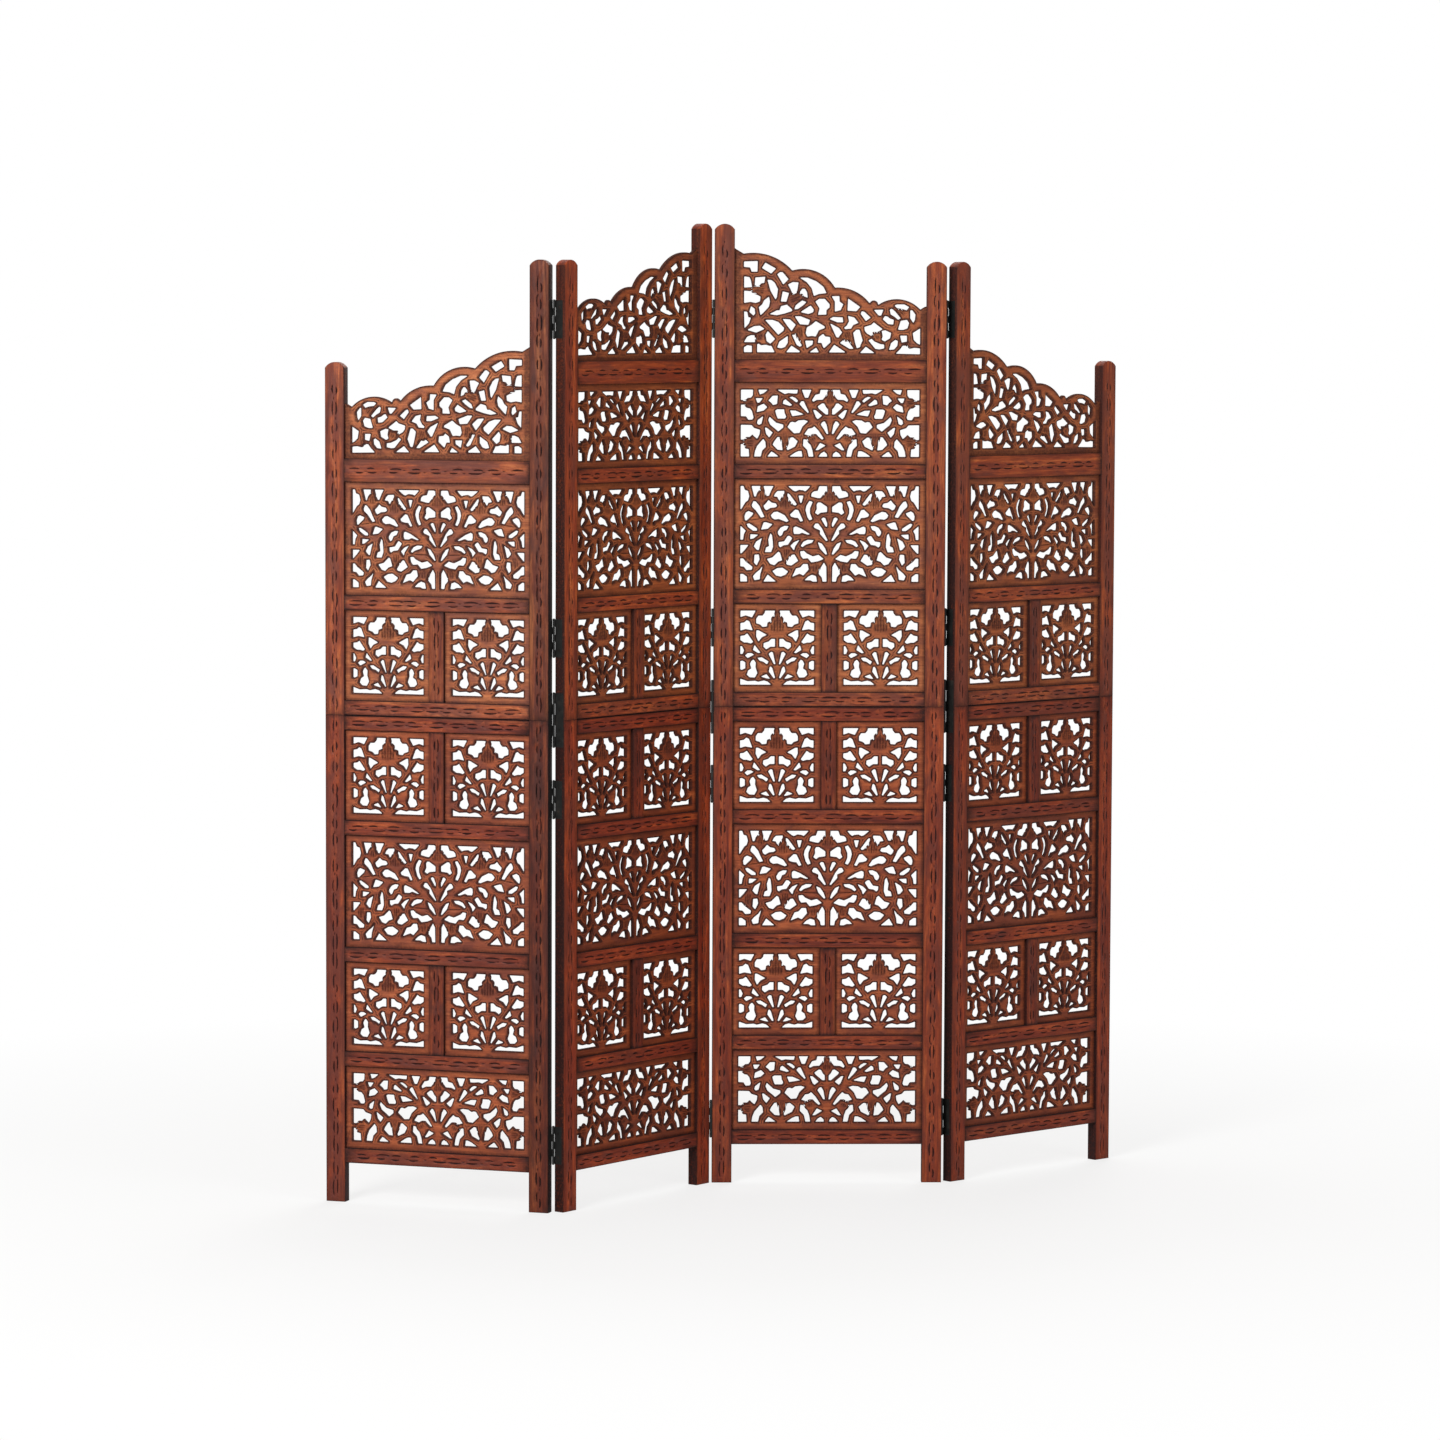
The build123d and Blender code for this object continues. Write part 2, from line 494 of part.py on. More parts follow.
def all_screw_planes(right, fitting):
    half = fitting.height / 2
    return screw_planes(right, fitting, fitting.centre - half, fitting.centre + half)


def make_stile(panel, right, bottom, top, rails, openings, shoulder):
    """A stile with its housings, mortises, hinge recesses and pilot holes. A domed stile has a shoulder,
    the height to which the crest board is housed in it."""
    x_low = panel_width - stile_width if right else 0.0
    inner_x = x_low if right else stile_width
    inward = 1 if right else -1
    with BuildPart(panel_planes[panel]) as stile:
        with BuildSketch(front_plane(panel)):
            if shoulder:
                with BuildLine():
                    left_end = (x_low, top - dome_rise)
                    right_end = (x_low + stile_width, top - dome_rise)
                    Polyline(left_end, (x_low, bottom), (x_low + stile_width, bottom), right_end)
                    SagittaArc(right_end, left_end, -dome_rise)
                make_face()
            else:
                with Locations((x_low + stile_width / 2, (bottom + top) / 2)):
                    Rectangle(stile_width, top - bottom)
        extrude(amount=-frame_thickness)
        if shoulder:
            depth_axis = Axis((0, 0, 0), panel_planes[panel].y_dir)
            ends = stile.edges().filter_by(depth_axis).group_by(Axis.Z)[-1]
            fillet(ends, dome_shoulder_radius)
        else:
            chamfer(stile.faces().sort_by(Axis.Z)[0].edges(), foot_chamfer)
        housings = []
        for _, level, height in openings:
            housings.append((level - housing_depth, level + height + housing_depth))
        if shoulder:
            crest_rail_level, crest_rail_size = rails[-1]
            housings.append((crest_rail_level + crest_rail_size - housing_depth, shoulder))
        for low, high in housings:
            with Locations((inner_x + inward * housing_depth / 2, mid_depth, (low + high) / 2)):
                Box(housing_depth, board_thickness, high - low, mode=Mode.SUBTRACT)
        for level, height in rails:
            with Locations((inner_x + inward * tenon_length / 2, mid_depth, level + height / 2)):
                Box(tenon_length, board_thickness, height - 2 * housing_depth, mode=Mode.SUBTRACT)
        for fitting in edge_fittings(panel, right):
            recess_low = max(fitting.centre - fitting.height / 2, bottom)
            recess_high = min(fitting.centre + fitting.height / 2, top)
            if recess_low < recess_high:
                half = fitting.thickness / 2
                edge_x = panel_width - half if right else half
                with Locations((edge_x, (fitting.low + fitting.high) / 2, (recess_low + recess_high) / 2)):
                    depth = fitting.high - fitting.low
                    Box(fitting.thickness, depth, recess_high - recess_low, mode=Mode.SUBTRACT)
                with Locations(*screw_planes(right, fitting, bottom, top)):
                    Hole(screw_radius + screw_fit, screw_length + screw_fit)
    return stile


def make_rails(panel, rails, openings, with_crest):
    """Tenoned rails, each one grooved where a row meets it and mortised for the muntins."""
    rows_above = {round(level, 3): kind for kind, level, _ in openings}
    rows_below = {round(level + height, 3): kind for kind, level, height in openings}
    if with_crest:
        crest_rail_level, crest_rail_size = rails[-1]
        rows_above[round(crest_rail_level + crest_rail_size, 3)] = "crest"
    with BuildPart(panel_planes[panel]) as timber:
        for level, height in rails:
            top = level + height
            with Locations((panel_width / 2, mid_depth, level + height / 2)):
                Box(clear_width, frame_thickness, height)
                Box(clear_width + 2 * tenon_length, board_thickness, height - 2 * housing_depth)
            sides = ((rows_above.get(round(top, 3)), top, -1), (rows_below.get(round(level, 3)), level, 1))
            for kind, edge, inward in sides:
                if kind:
                    with Locations((panel_width / 2, mid_depth, edge + inward * housing_depth / 2)):
                        Box(clear_width, board_thickness, housing_depth, mode=Mode.SUBTRACT)
                if kind == "tiles":
                    middle = edge + inward * muntin_tenon_length / 2
                    with Locations((panel_width / 2, mid_depth, middle)):
                        Box(housing_web, board_thickness, muntin_tenon_length, mode=Mode.SUBTRACT)
    return timber


def make_muntins(panel, openings):
    """Uprights between the two tiles of a row, grooved on both sides and tenoned at both ends."""
    groove_offset = (muntin_width - housing_depth) / 2
    with BuildPart(panel_planes[panel]) as muntins:
        for kind, level, height in openings:
            if kind == "tiles":
                with Locations((panel_width / 2, mid_depth, level + height / 2)):
                    Box(muntin_width, frame_thickness, height)
                    with Locations((-groove_offset, 0), (groove_offset, 0)):
                        Box(housing_depth, board_thickness, height, mode=Mode.SUBTRACT)
                    Box(housing_web, board_thickness, height + 2 * muntin_tenon_length)
    return muntins


def place_boards(panel, board, corners):
    """Copies of a board, their clear openings starting at the given corners."""
    with BuildPart(panel_planes[panel]) as boards:
        with Locations(*[(x, 0, z) for x, z in corners]):
            add(board, clean=False)
    return boards


def make_leaves(panel, right):
    """All hinge leaves on one edge, with their share of the knuckles. A right edge has the even ones, and
    a left edge has the odd ones, the lowest and highest among them, on which the pins' heads rest."""
    at_front = pin_at_front[panel if right else panel - 1]
    edge_x = panel_width if right else 0.0
    out = 1 if right else -1
    face_y = 0.0 if at_front else frame_thickness
    off = -1 if at_front else 1
    pin_x = edge_x + out * pin_from_edge
    pin_y = face_y + off * pin_from_face
    bore = pin_radius + (swing_fit if right else pin_fit)
    lug_x = edge_x + out * (lug_reach - lug_inset) / 2
    lug_y = face_y + off * (lug_face_reach - lug_overlap) / 2
    with BuildPart(panel_planes[panel]) as leaves:
        for fitting in edge_fittings(panel, right):
            leaf_width = fitting.high - fitting.low
            leaf_x = edge_x - out * fitting.thickness / 2
            leaf_y = face_y - off * (leaf_width + leaf_set_back) / 2
            with Locations((leaf_x, leaf_y, fitting.centre)):
                Box(fitting.thickness, leaf_width - leaf_set_back, fitting.height)
            pitch = fitting.height / knuckle_count
            for number in range(1 if right else 0, knuckle_count, 2):
                bottom_gap = knuckle_gap / 2 if number > 0 else 0.0
                top_gap = knuckle_gap / 2 if number < knuckle_count - 1 else 0.0
                length = pitch - bottom_gap - top_gap
                bottom = fitting.centre - fitting.height / 2 + number * pitch + bottom_gap
                with Locations((lug_x, lug_y, bottom + length / 2)):
                    Box(lug_reach + lug_inset, lug_face_reach + lug_overlap, length)
                with Locations((pin_x, pin_y, bottom + length / 2)):
                    Cylinder(knuckle_radius, length)
            with Locations((pin_x, pin_y, fitting.centre)):
                Cylinder(bore, fitting.height, mode=Mode.SUBTRACT)
            with Locations(*all_screw_planes(right, fitting)):
                screw_seat(fitting.thickness)
    return leaves


def make_pins(fold):
    """The pins of one fold, with a flat head at each end of every hinge."""
    with BuildPart(panel_planes[fold + 1]) as pins:
        for centre, height, _, _ in fold_hinges:
            with Locations((-pin_from_edge, pin_depth(pin_at_front[fold]), centre)):
                Cylinder(pin_radius, height)
                for end in (-1, 1):
                    with Locations((0, 0, end * (height + pin_head_height) / 2)):
                        Cylinder(pin_head_radius, pin_head_height)
    return pins


def make_edge_plate(panel, right):
    """The flat plate let into an outer edge across the seam."""
    fitting = edge_fittings(panel, right)[0]
    half = fitting.thickness / 2
    plate_x = panel_width - half if right else half
    with BuildPart(panel_planes[panel]) as plate:
        with Locations((plate_x, (fitting.low + fitting.high) / 2, fitting.centre)):
            Box(fitting.thickness, fitting.high - fitting.low, fitting.height)
        with Locations(*all_screw_planes(right, fitting)):
            screw_seat(fitting.thickness)
    return plate


def screw_seat(thickness):
    """A countersunk hole through a plate of this thickness."""
    hole_radius = screw_radius + screw_fit
    head_radius = screw_head_radius + screw_fit
    CounterSinkHole(hole_radius, head_radius, thickness, counter_sink_angle=screw_cone_angle)


def make_screw():
    """A countersunk screw with its head's face at z = 0 and its tip down."""
    with BuildPart() as screw:
        with BuildSketch(Plane.XZ):
            with BuildLine():
                Polyline(
                    (0, 0),
                    (screw_head_radius, 0),
                    (screw_radius, -screw_head_depth),
                    (screw_radius, screw_tip_length - screw_length),
                    (0, -screw_length),
                    close=True,
                )
            make_face()
        revolve(axis=Axis.Z)
        with Locations((0, 0, -screw_slot_depth / 2)):
            Box(2 * screw_head_radius, screw_slot_width, screw_slot_depth, mode=Mode.SUBTRACT)
    return screw.part


def save(builder, label):
    builder.part.label = label
    export_step(builder.part, f"parts/{label}.step", write_pcurves=False)


tree_margins = (side_margin, end_margin)
large_tree = fret_board(clear_width, large_tree_height, large_tree_field, large_tree_openings, tree_margins)
short_tree = fret_board(clear_width, short_tree_height, short_tree_field, short_tree_openings, tree_margins)
lotus_tile = fret_board(tile_width, tile_height, lotus_field, lotus_openings, (tile_margin, tile_margin))
crests = {tall_left: crest_board(tall_left) for tall_left in (False, True)}
screw_body = make_screw()

for panel in range(4):
    name = f"panel_{panel + 1}"
    upper_rails, upper_openings, crest_base = upper_stacks[panel]
    for right in (False, True):
        side = "right" if right else "left"
        tall = right != crest_tall_left[panel]
        shoulder = crest_base + (crest_tall_shoulder if tall else crest_low_shoulder)
        stile_top = stile_tops[panel][1 if right else 0]
        upper = make_stile(panel, right, seam_height, stile_top, upper_rails, upper_openings, shoulder)
        save(upper, f"{name}_upper_{side}_stile")
        lower = make_stile(panel, right, 0.0, seam_height, lower_rails, lower_openings, None)
        save(lower, f"{name}_lower_{side}_stile")

    save(make_rails(panel, upper_rails, upper_openings, True), f"{name}_upper_rails")
    save(make_rails(panel, lower_rails, lower_openings, False), f"{name}_lower_rails")
    openings = lower_openings + upper_openings
    save(make_muntins(panel, openings), f"{name}_muntins")

    save(place_boards(panel, crests[crest_tall_left[panel]], [(stile_width, crest_base)]), f"{name}_crest")
    large = [(stile_width, level) for kind, level, _ in openings if kind == "large_tree"]
    short = [(stile_width, level) for kind, level, _ in openings if kind == "short_tree"]
    tile_columns = (stile_width, stile_width + tile_width + muntin_width)
    tiles = [(x, level) for kind, level, _ in openings if kind == "tiles" for x in tile_columns]
    save(place_boards(panel, large_tree, large), f"{name}_large_trees")
    save(place_boards(panel, short_tree, short), f"{name}_short_trees")
    save(place_boards(panel, lotus_tile, tiles), f"{name}_lotus_tiles")

    planes = []
    for right in (False, True):
        for fitting in edge_fittings(panel, right):
            planes += all_screw_planes(right, fitting)
    with BuildPart(panel_planes[panel]) as screws:
        with Locations(*planes):
            add(screw_body, clean=False)
    save(screws, f"{name}_screws")

for fold, letter in enumerate(fold_names):
    save(make_leaves(fold, True), f"fold_{letter}_left_leaves")
    save(make_leaves(fold + 1, False), f"fold_{letter}_right_leaves")
    save(make_pins(fold), f"fold_{letter}_pins")
    pin = panel_planes[fold + 1].from_local_coords(Vector(-pin_from_edge, pin_depth(pin_at_front[fold]), 0))
    print(f"fold {letter} pin at {pin.X:.4f}, {pin.Y:.4f}")

save(make_edge_plate(0, False), "left_edge_plate")
save(make_edge_plate(3, True), "right_edge_plate")
for panel, plane in enumerate(panel_planes):
    print(f"panel {panel + 1} corner at {plane.origin.X:.4f}, {plane.origin.Y:.4f}")
print(f"seam {seam_height:.1f}")
print(f"stile tops {outer_stile_top:.1f}, {side_fold_stile_top:.1f}, {centre_fold_stile_top:.1f}")
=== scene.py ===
import math

import bpy
import numpy as np
from mathutils import Matrix, Vector


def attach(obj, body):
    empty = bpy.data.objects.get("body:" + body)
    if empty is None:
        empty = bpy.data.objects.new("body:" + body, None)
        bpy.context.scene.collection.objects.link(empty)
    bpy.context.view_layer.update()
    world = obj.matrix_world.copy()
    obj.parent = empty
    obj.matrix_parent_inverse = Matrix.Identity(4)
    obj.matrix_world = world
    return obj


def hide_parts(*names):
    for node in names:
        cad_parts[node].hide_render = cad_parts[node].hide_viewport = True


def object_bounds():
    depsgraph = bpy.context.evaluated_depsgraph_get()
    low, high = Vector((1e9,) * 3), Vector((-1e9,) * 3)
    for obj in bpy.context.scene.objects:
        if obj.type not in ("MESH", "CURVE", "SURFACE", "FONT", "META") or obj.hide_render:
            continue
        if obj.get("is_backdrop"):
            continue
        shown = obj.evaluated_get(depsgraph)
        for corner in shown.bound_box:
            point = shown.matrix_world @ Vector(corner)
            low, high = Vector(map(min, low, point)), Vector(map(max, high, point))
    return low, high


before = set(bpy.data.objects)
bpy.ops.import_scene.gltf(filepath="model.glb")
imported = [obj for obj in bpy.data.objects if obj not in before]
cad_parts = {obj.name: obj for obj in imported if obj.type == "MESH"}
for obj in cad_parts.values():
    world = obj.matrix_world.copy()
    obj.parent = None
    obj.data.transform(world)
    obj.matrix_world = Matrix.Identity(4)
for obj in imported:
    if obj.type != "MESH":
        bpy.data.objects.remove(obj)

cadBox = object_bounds()
scene = bpy.context.scene
mm = 0.001

# the folding screen as the CAD frame has it, in millimetres
# a panel's own x runs along it, its y from front to back
outerRows = ("tiles", "large")
innerRows = ("tiles", "large", "short")
screen = {
    "headings": (-17.6, 52.3, 1.6, 42.6),  # degrees that each panel is turned by
    "width": 440.0,
    "thickness": 22.0,
    "stileWidth": 38.0,
    "railHeight": 28.0,
    "crestRailHeight": 43.0,
    "muntinWidth": 30.0,
    "boardFront": 7.0,
    "boardThickness": 8.0,
    "footHeight": 74.0,
    "rowHeights": {"short": 154.5, "large": 209.5, "tiles": 168.0},
    "crestHeight": 212.0,
    "lowerRows": ("short", "tiles", "large", "tiles"),
    "upperRows": (outerRows, innerRows, innerRows, outerRows),
    "tops": {"outer": 1569.0, "side": 1759.0, "centre": 1829.0},
    "stileTops": (("outer", "side"), ("side", "centre"), ("centre", "side"), ("side", "outer")),
    "crestTallSide": ("right", "right", "left", "left"),
}
panels = range(len(screen["headings"]))
stileWidth = screen["stileWidth"]
clearWidth = screen["width"] - 2 * stileWidth
tileWidth = (clearWidth - screen["muntinWidth"]) / 2


def meshPoints(mesh):
    points = np.empty(len(mesh.vertices) * 3, np.float32)
    mesh.vertices.foreach_get("co", points)
    return points.reshape(-1, 3).astype(float)


def panelPlace(panel):
    # a panel's own frame starts at the lowest corner of its left stile
    turn = Matrix.Rotation(math.radians(screen["headings"][panel]), 4, "Z")
    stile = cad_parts[f"panel_{panel + 1}_lower_left_stile"].data
    corner = (meshPoints(stile) @ np.array(turn)[:3, :3]).min(0)
    return turn @ Matrix.Translation((corner[0], corner[1], 0))


def stackRows(base, rows):
    # heights of the rails and of the rows between them, from the bottom up
    rails, openings, level = [], [], base
    for row in rows:
        rails.append(level)
        level += screen["railHeight"]
        openings.append((row, level))
        level += screen["rowHeights"][row]
    return rails, openings, level


panelPlaces = [panelPlace(panel) for panel in panels]
lowerRails, lowerOpenings, topLowerRail = stackRows(screen["footHeight"], screen["lowerRows"])
seam = topLowerRail + screen["railHeight"]
upperStacks = [stackRows(seam, rows) for rows in screen["upperRows"]]
crestBases = [crestRail + screen["crestRailHeight"] for _, _, crestRail in upperStacks]


def newMaterial(name):
    material = bpy.data.materials.new(name)
    material.use_nodes = True
    tree = material.node_tree
    tree.nodes.clear()
    output = tree.nodes.new("ShaderNodeOutputMaterial")
    shader = tree.nodes.new("ShaderNodeBsdfPrincipled")
    tree.links.new(shader.outputs["BSDF"], output.inputs["Surface"])
    return material, tree, shader


def linear(red, green, blue):
    # a colour as a display shows it, 0 to 255
    def light(c):
        return ((c / 255 + 0.055) / 1.055) ** 2.4 if c > 10 else c / 255 / 12.92

    return light(red), light(green), light(blue), 1.0


def feed(tree, node, inputs):
    # every socket takes another node's output or a plain value
    for name, value in inputs.items():
        if isinstance(value, bpy.types.NodeSocket):
            tree.links.new(value, node.inputs[name])
        else:
            node.inputs[name].default_value = value
    return node


def newNode(tree, kind, inputs):
    return feed(tree, tree.nodes.new("ShaderNode" + kind), inputs)


def noiseNode(tree, place, scale, detail, rough, distortion=0.0):
    inputs = {"Vector": place, "Scale": scale, "Detail": detail, "Roughness": rough, "Distortion": distortion}
    return newNode(tree, "TexNoise", inputs).outputs["Fac"]


def grainNoise(tree, place, stretch, *noise):
    node = newNode(tree, "Mapping", {"Vector": place, "Scale": stretch})
    return noiseNode(tree, node.outputs["Vector"], 1.0, *noise)


def ramp(tree, value, stops, shades):
    node = newNode(tree, "ValToRGB", {"Fac": value})
    elements = node.color_ramp.elements
    elements.remove(elements[-1])
    elements[0].position = stops[0]
    for stop in stops[1:]:
        elements.new(stop)
    for element, shade in zip(elements, shades):
        element.color = linear(*shade)
    return node.outputs["Color"]


def mixColour(tree, amount, first, second, blend="MIX"):
    node = tree.nodes.new("ShaderNodeMix")
    node.data_type = "RGBA"
    node.blend_type = blend
    feed(tree, node, {0: amount, 6: first, 7: second})  # the sockets that a colour mix uses
    return node.outputs[2]


def mathNode(tree, operation, first, second=0.5, third=0.5, clamp=False):
    node = tree.nodes.new("ShaderNodeMath")
    node.operation = operation
    node.use_clamp = clamp
    feed(tree, node, {0: first, 1: second, 2: third})
    return node.outputs[0]


def portion(tree, first, second):
    # two amounts multiplied, kept between none and all
    return mathNode(tree, "MULTIPLY", first, second, clamp=True)


def rangeNode(tree, value, low, high, newLow=0.0, newHigh=1.0):
    inputs = {"Value": value, "From Min": low, "From Max": high, "To Min": newLow, "To Max": newHigh}
    return newNode(tree, "MapRange", inputs).outputs["Result"]


def attributeNode(tree, name):
    node = tree.nodes.new("ShaderNodeAttribute")
    node.attribute_name = name
    return node.outputs["Fac"]


def addBump(tree, shader, height, strength, distance):
    bump = newNode(tree, "Bump", {"Strength": strength, "Distance": distance, "Height": height})
    tree.links.new(bump.outputs["Normal"], shader.inputs["Normal"])


# the grain of both woods, which runs along x
# noises: stretch or scale, detail, roughness, distortion; ranges: from low to high, then to what
grain = {
    "spread": (7.0, 3.1, 5.3),  # metres that like pieces' grain is apart
    "figure": ((6.0, 75.0, 75.0), 5.0, 0.65, 0.8),
    "figureStops": (0.3, 0.43, 0.56, 0.7),
    "streaks": ((16.0, 300.0, 300.0), 4.0, 0.7, 0.4),
    "pores": ((90.0, 1500.0, 1500.0), 2.0, 0.5, 0.0),
    "clouds": (4.0, 0.65, 0.5),
    "blotches": (260.0, 3.0, 0.65),
    "streakRange": (0.35, 0.7, 0.0),
    "poreRange": (0.58, 0.72, 0.0, 0.45),
    "bandRange": (0.3, 0.65, 0.1, 1.0),
    "cutRange": (0.2, 0.6),
    "cutMost": 1.15,
    "wearRange": (0.35, 0.65, 0.2, 1.0),
    "darkRange": (0.35, 0.6, 0.75, 1.0),
    "pieceSpread": 0.07,  # how much lighter or darker a piece's clouds may be
    "darkTone": linear(110, 112, 122),
    "redTone": linear(244, 208, 200),
    "specular": 0.16,
    "roughRange": (0.3, 0.7),
    "cutDull": 0.22,  # how much rougher the cuts are
    "streakRise": 0.55,
    "poreRise": -0.35,
    "bumpDistance": 0.0004,
}


def objectPlace(tree):
    return tree.nodes.new("ShaderNodeTexCoord").outputs["Object"]


def grainPlace(tree, each):
    # like pieces share a mesh, so each takes its grain from a place of its own
    away = {axis: mathNode(tree, "MULTIPLY", each, metres) for axis, metres in zip("XYZ", grain["spread"])}
    spread = newNode(tree, "CombineXYZ", away).outputs["Vector"]
    moved = newNode(tree, "VectorMath", {0: objectPlace(tree), 1: spread})
    moved.operation = "ADD"
    return moved.outputs["Vector"]


def woodMaterial(name, look):
    def coat(colour, kind, amount):
        return mixColour(tree, portion(tree, amount, look[f"{kind}Strength"]), colour, look[f"{kind}Colour"])

    material, tree, shader = newMaterial(name)
    about = tree.nodes.new("ShaderNodeObjectInfo")
    each = about.outputs["Random"]
    place = grainPlace(tree, each)

    # broad figure, fine streaks and short dark pores
    figure, streaks, pores = (grainNoise(tree, place, *grain[key]) for key in ("figure", "streaks", "pores"))
    colour = ramp(tree, figure, grain["figureStops"], look["figure"])
    amount = rangeNode(tree, streaks, *grain["streakRange"], look["streaks"])
    colour = mixColour(tree, amount, colour, look["streakColour"])

    # stain lies unevenly: broad cloudy patches, darker on some pieces than on others
    clouds = grainNoise(tree, place, look["cloudStretch"], *grain["clouds"])
    piece = rangeNode(tree, each, 0.0, 1.0, -grain["pieceSpread"], grain["pieceSpread"])
    cloud = rangeNode(tree, mathNode(tree, "ADD", clouds, piece), *look["cloudRange"])
    colour = coat(colour, "cloud", cloud)
    colour = mixColour(tree, rangeNode(tree, pores, *grain["poreRange"]), colour, look["poreColour"])

    # dark stain stays in the cuts and joints, and is rubbed off the proud edges; the same darkening also
    # paints shade where a board meets its frame and along a timber's rounded long edges
    blotches = noiseNode(tree, place, *grain["blotches"])
    if "bandColour" in look:
        broken = rangeNode(tree, blotches, *grain["bandRange"])
        colour = coat(colour, "band", portion(tree, attributeNode(tree, "band"), broken))
    hollow = attributeNode(tree, "hollow")
    broken = rangeNode(tree, blotches, *grain["cutRange"], look["brokenLow"], grain["cutMost"])
    colour = coat(colour, "hollow", portion(tree, hollow, broken))
    broken = rangeNode(tree, figure, *grain["wearRange"])
    colour = coat(colour, "wear", portion(tree, attributeNode(tree, "proud"), broken))

    # a piece's colour holds its own tone: how dark and how red it was stained, and how much painted side
    # light it takes, as on the panels turned to the right
    tone = newNode(tree, "SeparateColor", {"Color": about.outputs["Color"]})
    dark = portion(tree, tone.outputs["Red"], rangeNode(tree, clouds, *grain["darkRange"]))
    colour = mixColour(tree, dark, colour, grain["darkTone"], "MULTIPLY")
    colour = mixColour(tree, tone.outputs["Green"], colour, grain["redTone"], "MULTIPLY")
    colour = mixColour(tree, tone.outputs["Blue"], colour, look["paintedSideLightTone"], "MULTIPLY")
    rough = rangeNode(tree, streaks, *grain["roughRange"], *look["rough"])
    rough = mathNode(tree, "MULTIPLY_ADD", hollow, grain["cutDull"], rough)
    feed(tree, shader, {"Base Color": colour, "Roughness": rough, "Specular IOR Level": grain["specular"]})
    sunk = mathNode(tree, "MULTIPLY", pores, grain["poreRise"])
    height = mathNode(tree, "MULTIPLY_ADD", streaks, grain["streakRise"], sunk)
    addBump(tree, shader, height, look["bump"], grain["bumpDistance"])
    return material


frameLook = {
    "figure": ((86, 34, 22), (132, 59, 34), (165, 83, 44), (198, 115, 64)),
    "streaks": 0.8,
    "streakColour": linear(80, 36, 30),
    "cloudStretch": (9.0, 30.0, 30.0),
    "cloudRange": (0.46, 0.6),
    "cloudStrength": 0.72,
    "cloudColour": linear(94, 51, 42),
    "poreColour": linear(52, 24, 18),
    "bandStrength": 0.42,  # the stain in the carved band along each timber
    "bandColour": linear(86, 42, 36),
    # dark stain in the cuts and joints, with painted shade along the rounded long edges
    "hollowStrength": 1.0,
    "hollowColour": linear(32, 14, 14),
    "brokenLow": 0.7,  # how much of the dark stain is left where it is broken up
    "wearStrength": 0.55,
    "wearColour": linear(186, 104, 62),
    # painted light: a panel turned to the right, away from the key lamp, has its frame drawn redder and
    # brighter
    "paintedSideLightTone": (1.15, 0.85, 0.57, 1.0),
    "rough": (0.42, 0.62),
    "bump": 0.35,
}
carvedLook = {
    "figure": ((116, 60, 36), (148, 82, 48), (170, 98, 58), (194, 121, 76)),
    "streaks": 0.6,
    "streakColour": linear(112, 56, 40),
    "cloudStretch": (11.0, 22.0, 22.0),
    "cloudRange": (0.48, 0.64),
    "cloudStrength": 0.65,
    "cloudColour": linear(104, 58, 50),
    "poreColour": linear(70, 34, 24),
    # dark stain at the cut edges and in the cuts, with painted shade where the board meets its frame
    "hollowStrength": 0.92,
    "hollowColour": linear(46, 24, 22),
    "brokenLow": 0.45,
    "wearStrength": 0.4,
    "wearColour": linear(192, 118, 76),
    # painted shade: a panel turned to the right, away from the key lamp, has its boards drawn darker and
    # warmer
    "paintedSideLightTone": (0.88, 0.7, 0.5, 1.0),
    "rough": (0.45, 0.64),
    "bump": 0.3,
}
frameWood = woodMaterial("frame_wood", frameLook)
carvedWood = woodMaterial("carved_wood", carvedLook)

ironSurface = {
    "patches": (45.0, 4.0, 0.6),
    "patchStops": (0.3, 0.55, 0.72),
    "grit": (900.0, 3.0, 0.6),
    "gritRange": (0.3, 0.7),
    "bump": 0.3,
    "bumpDistance": 0.0003,
}


def ironMaterial(name, look):
    material, tree, shader = newMaterial(name)
    place = objectPlace(tree)
    patches, grit = (noiseNode(tree, place, *ironSurface[key]) for key in ("patches", "grit"))
    colour = ramp(tree, patches, ironSurface["patchStops"], look["colours"])
    rough = rangeNode(tree, grit, *ironSurface["gritRange"], *look["rough"])
    feed(tree, shader, {"Base Color": colour, "Roughness": rough})
    feed(tree, shader, {"Metallic": look["metallic"], "Specular IOR Level": look["specular"]})
    addBump(tree, shader, grit, ironSurface["bump"], ironSurface["bumpDistance"])
    return material


hingeLook = {
    "colours": ((16, 16, 15), (26, 26, 25), (42, 39, 35)),
    "rough": (0.38, 0.6),
    "metallic": 0.0,  # painted black
    "specular": 0.22,
}
screwLook = {
    "colours": ((22, 22, 21), (36, 36, 34), (70, 66, 60)),
    "rough": (0.3, 0.5),
    "metallic": 0.5,
    "specular": 0.3,
}
blackIron = ironMaterial("black_iron", hingeLook)
blackScrew = ironMaterial("black_screw", screwLook)
print("materials made")


def meshFromArrays(name, points, polygons):
    # points in metres; polygons are arrays of their corners, one array for each corner count
    mesh = bpy.data.meshes.new(name)
    corners = np.concatenate([p.ravel() for p in polygons]).astype(np.int32)
    totals = np.concatenate([np.full(len(p), p.shape[1]) for p in polygons]).astype(np.int32)
    starts = np.concatenate(([0], np.cumsum(totals)[:-1])).astype(np.int32)
    mesh.vertices.add(len(points))
    mesh.vertices.foreach_set("co", np.asarray(points, np.float32).ravel())
    mesh.loops.add(len(corners))
    mesh.loops.foreach_set("vertex_index", corners)
    mesh.polygons.add(len(totals))
    mesh.polygons.foreach_set("loop_start", starts)
    mesh.polygons.foreach_set("loop_total", totals)
    mesh.update(calc_edges=True)
    mesh.validate()
    return mesh


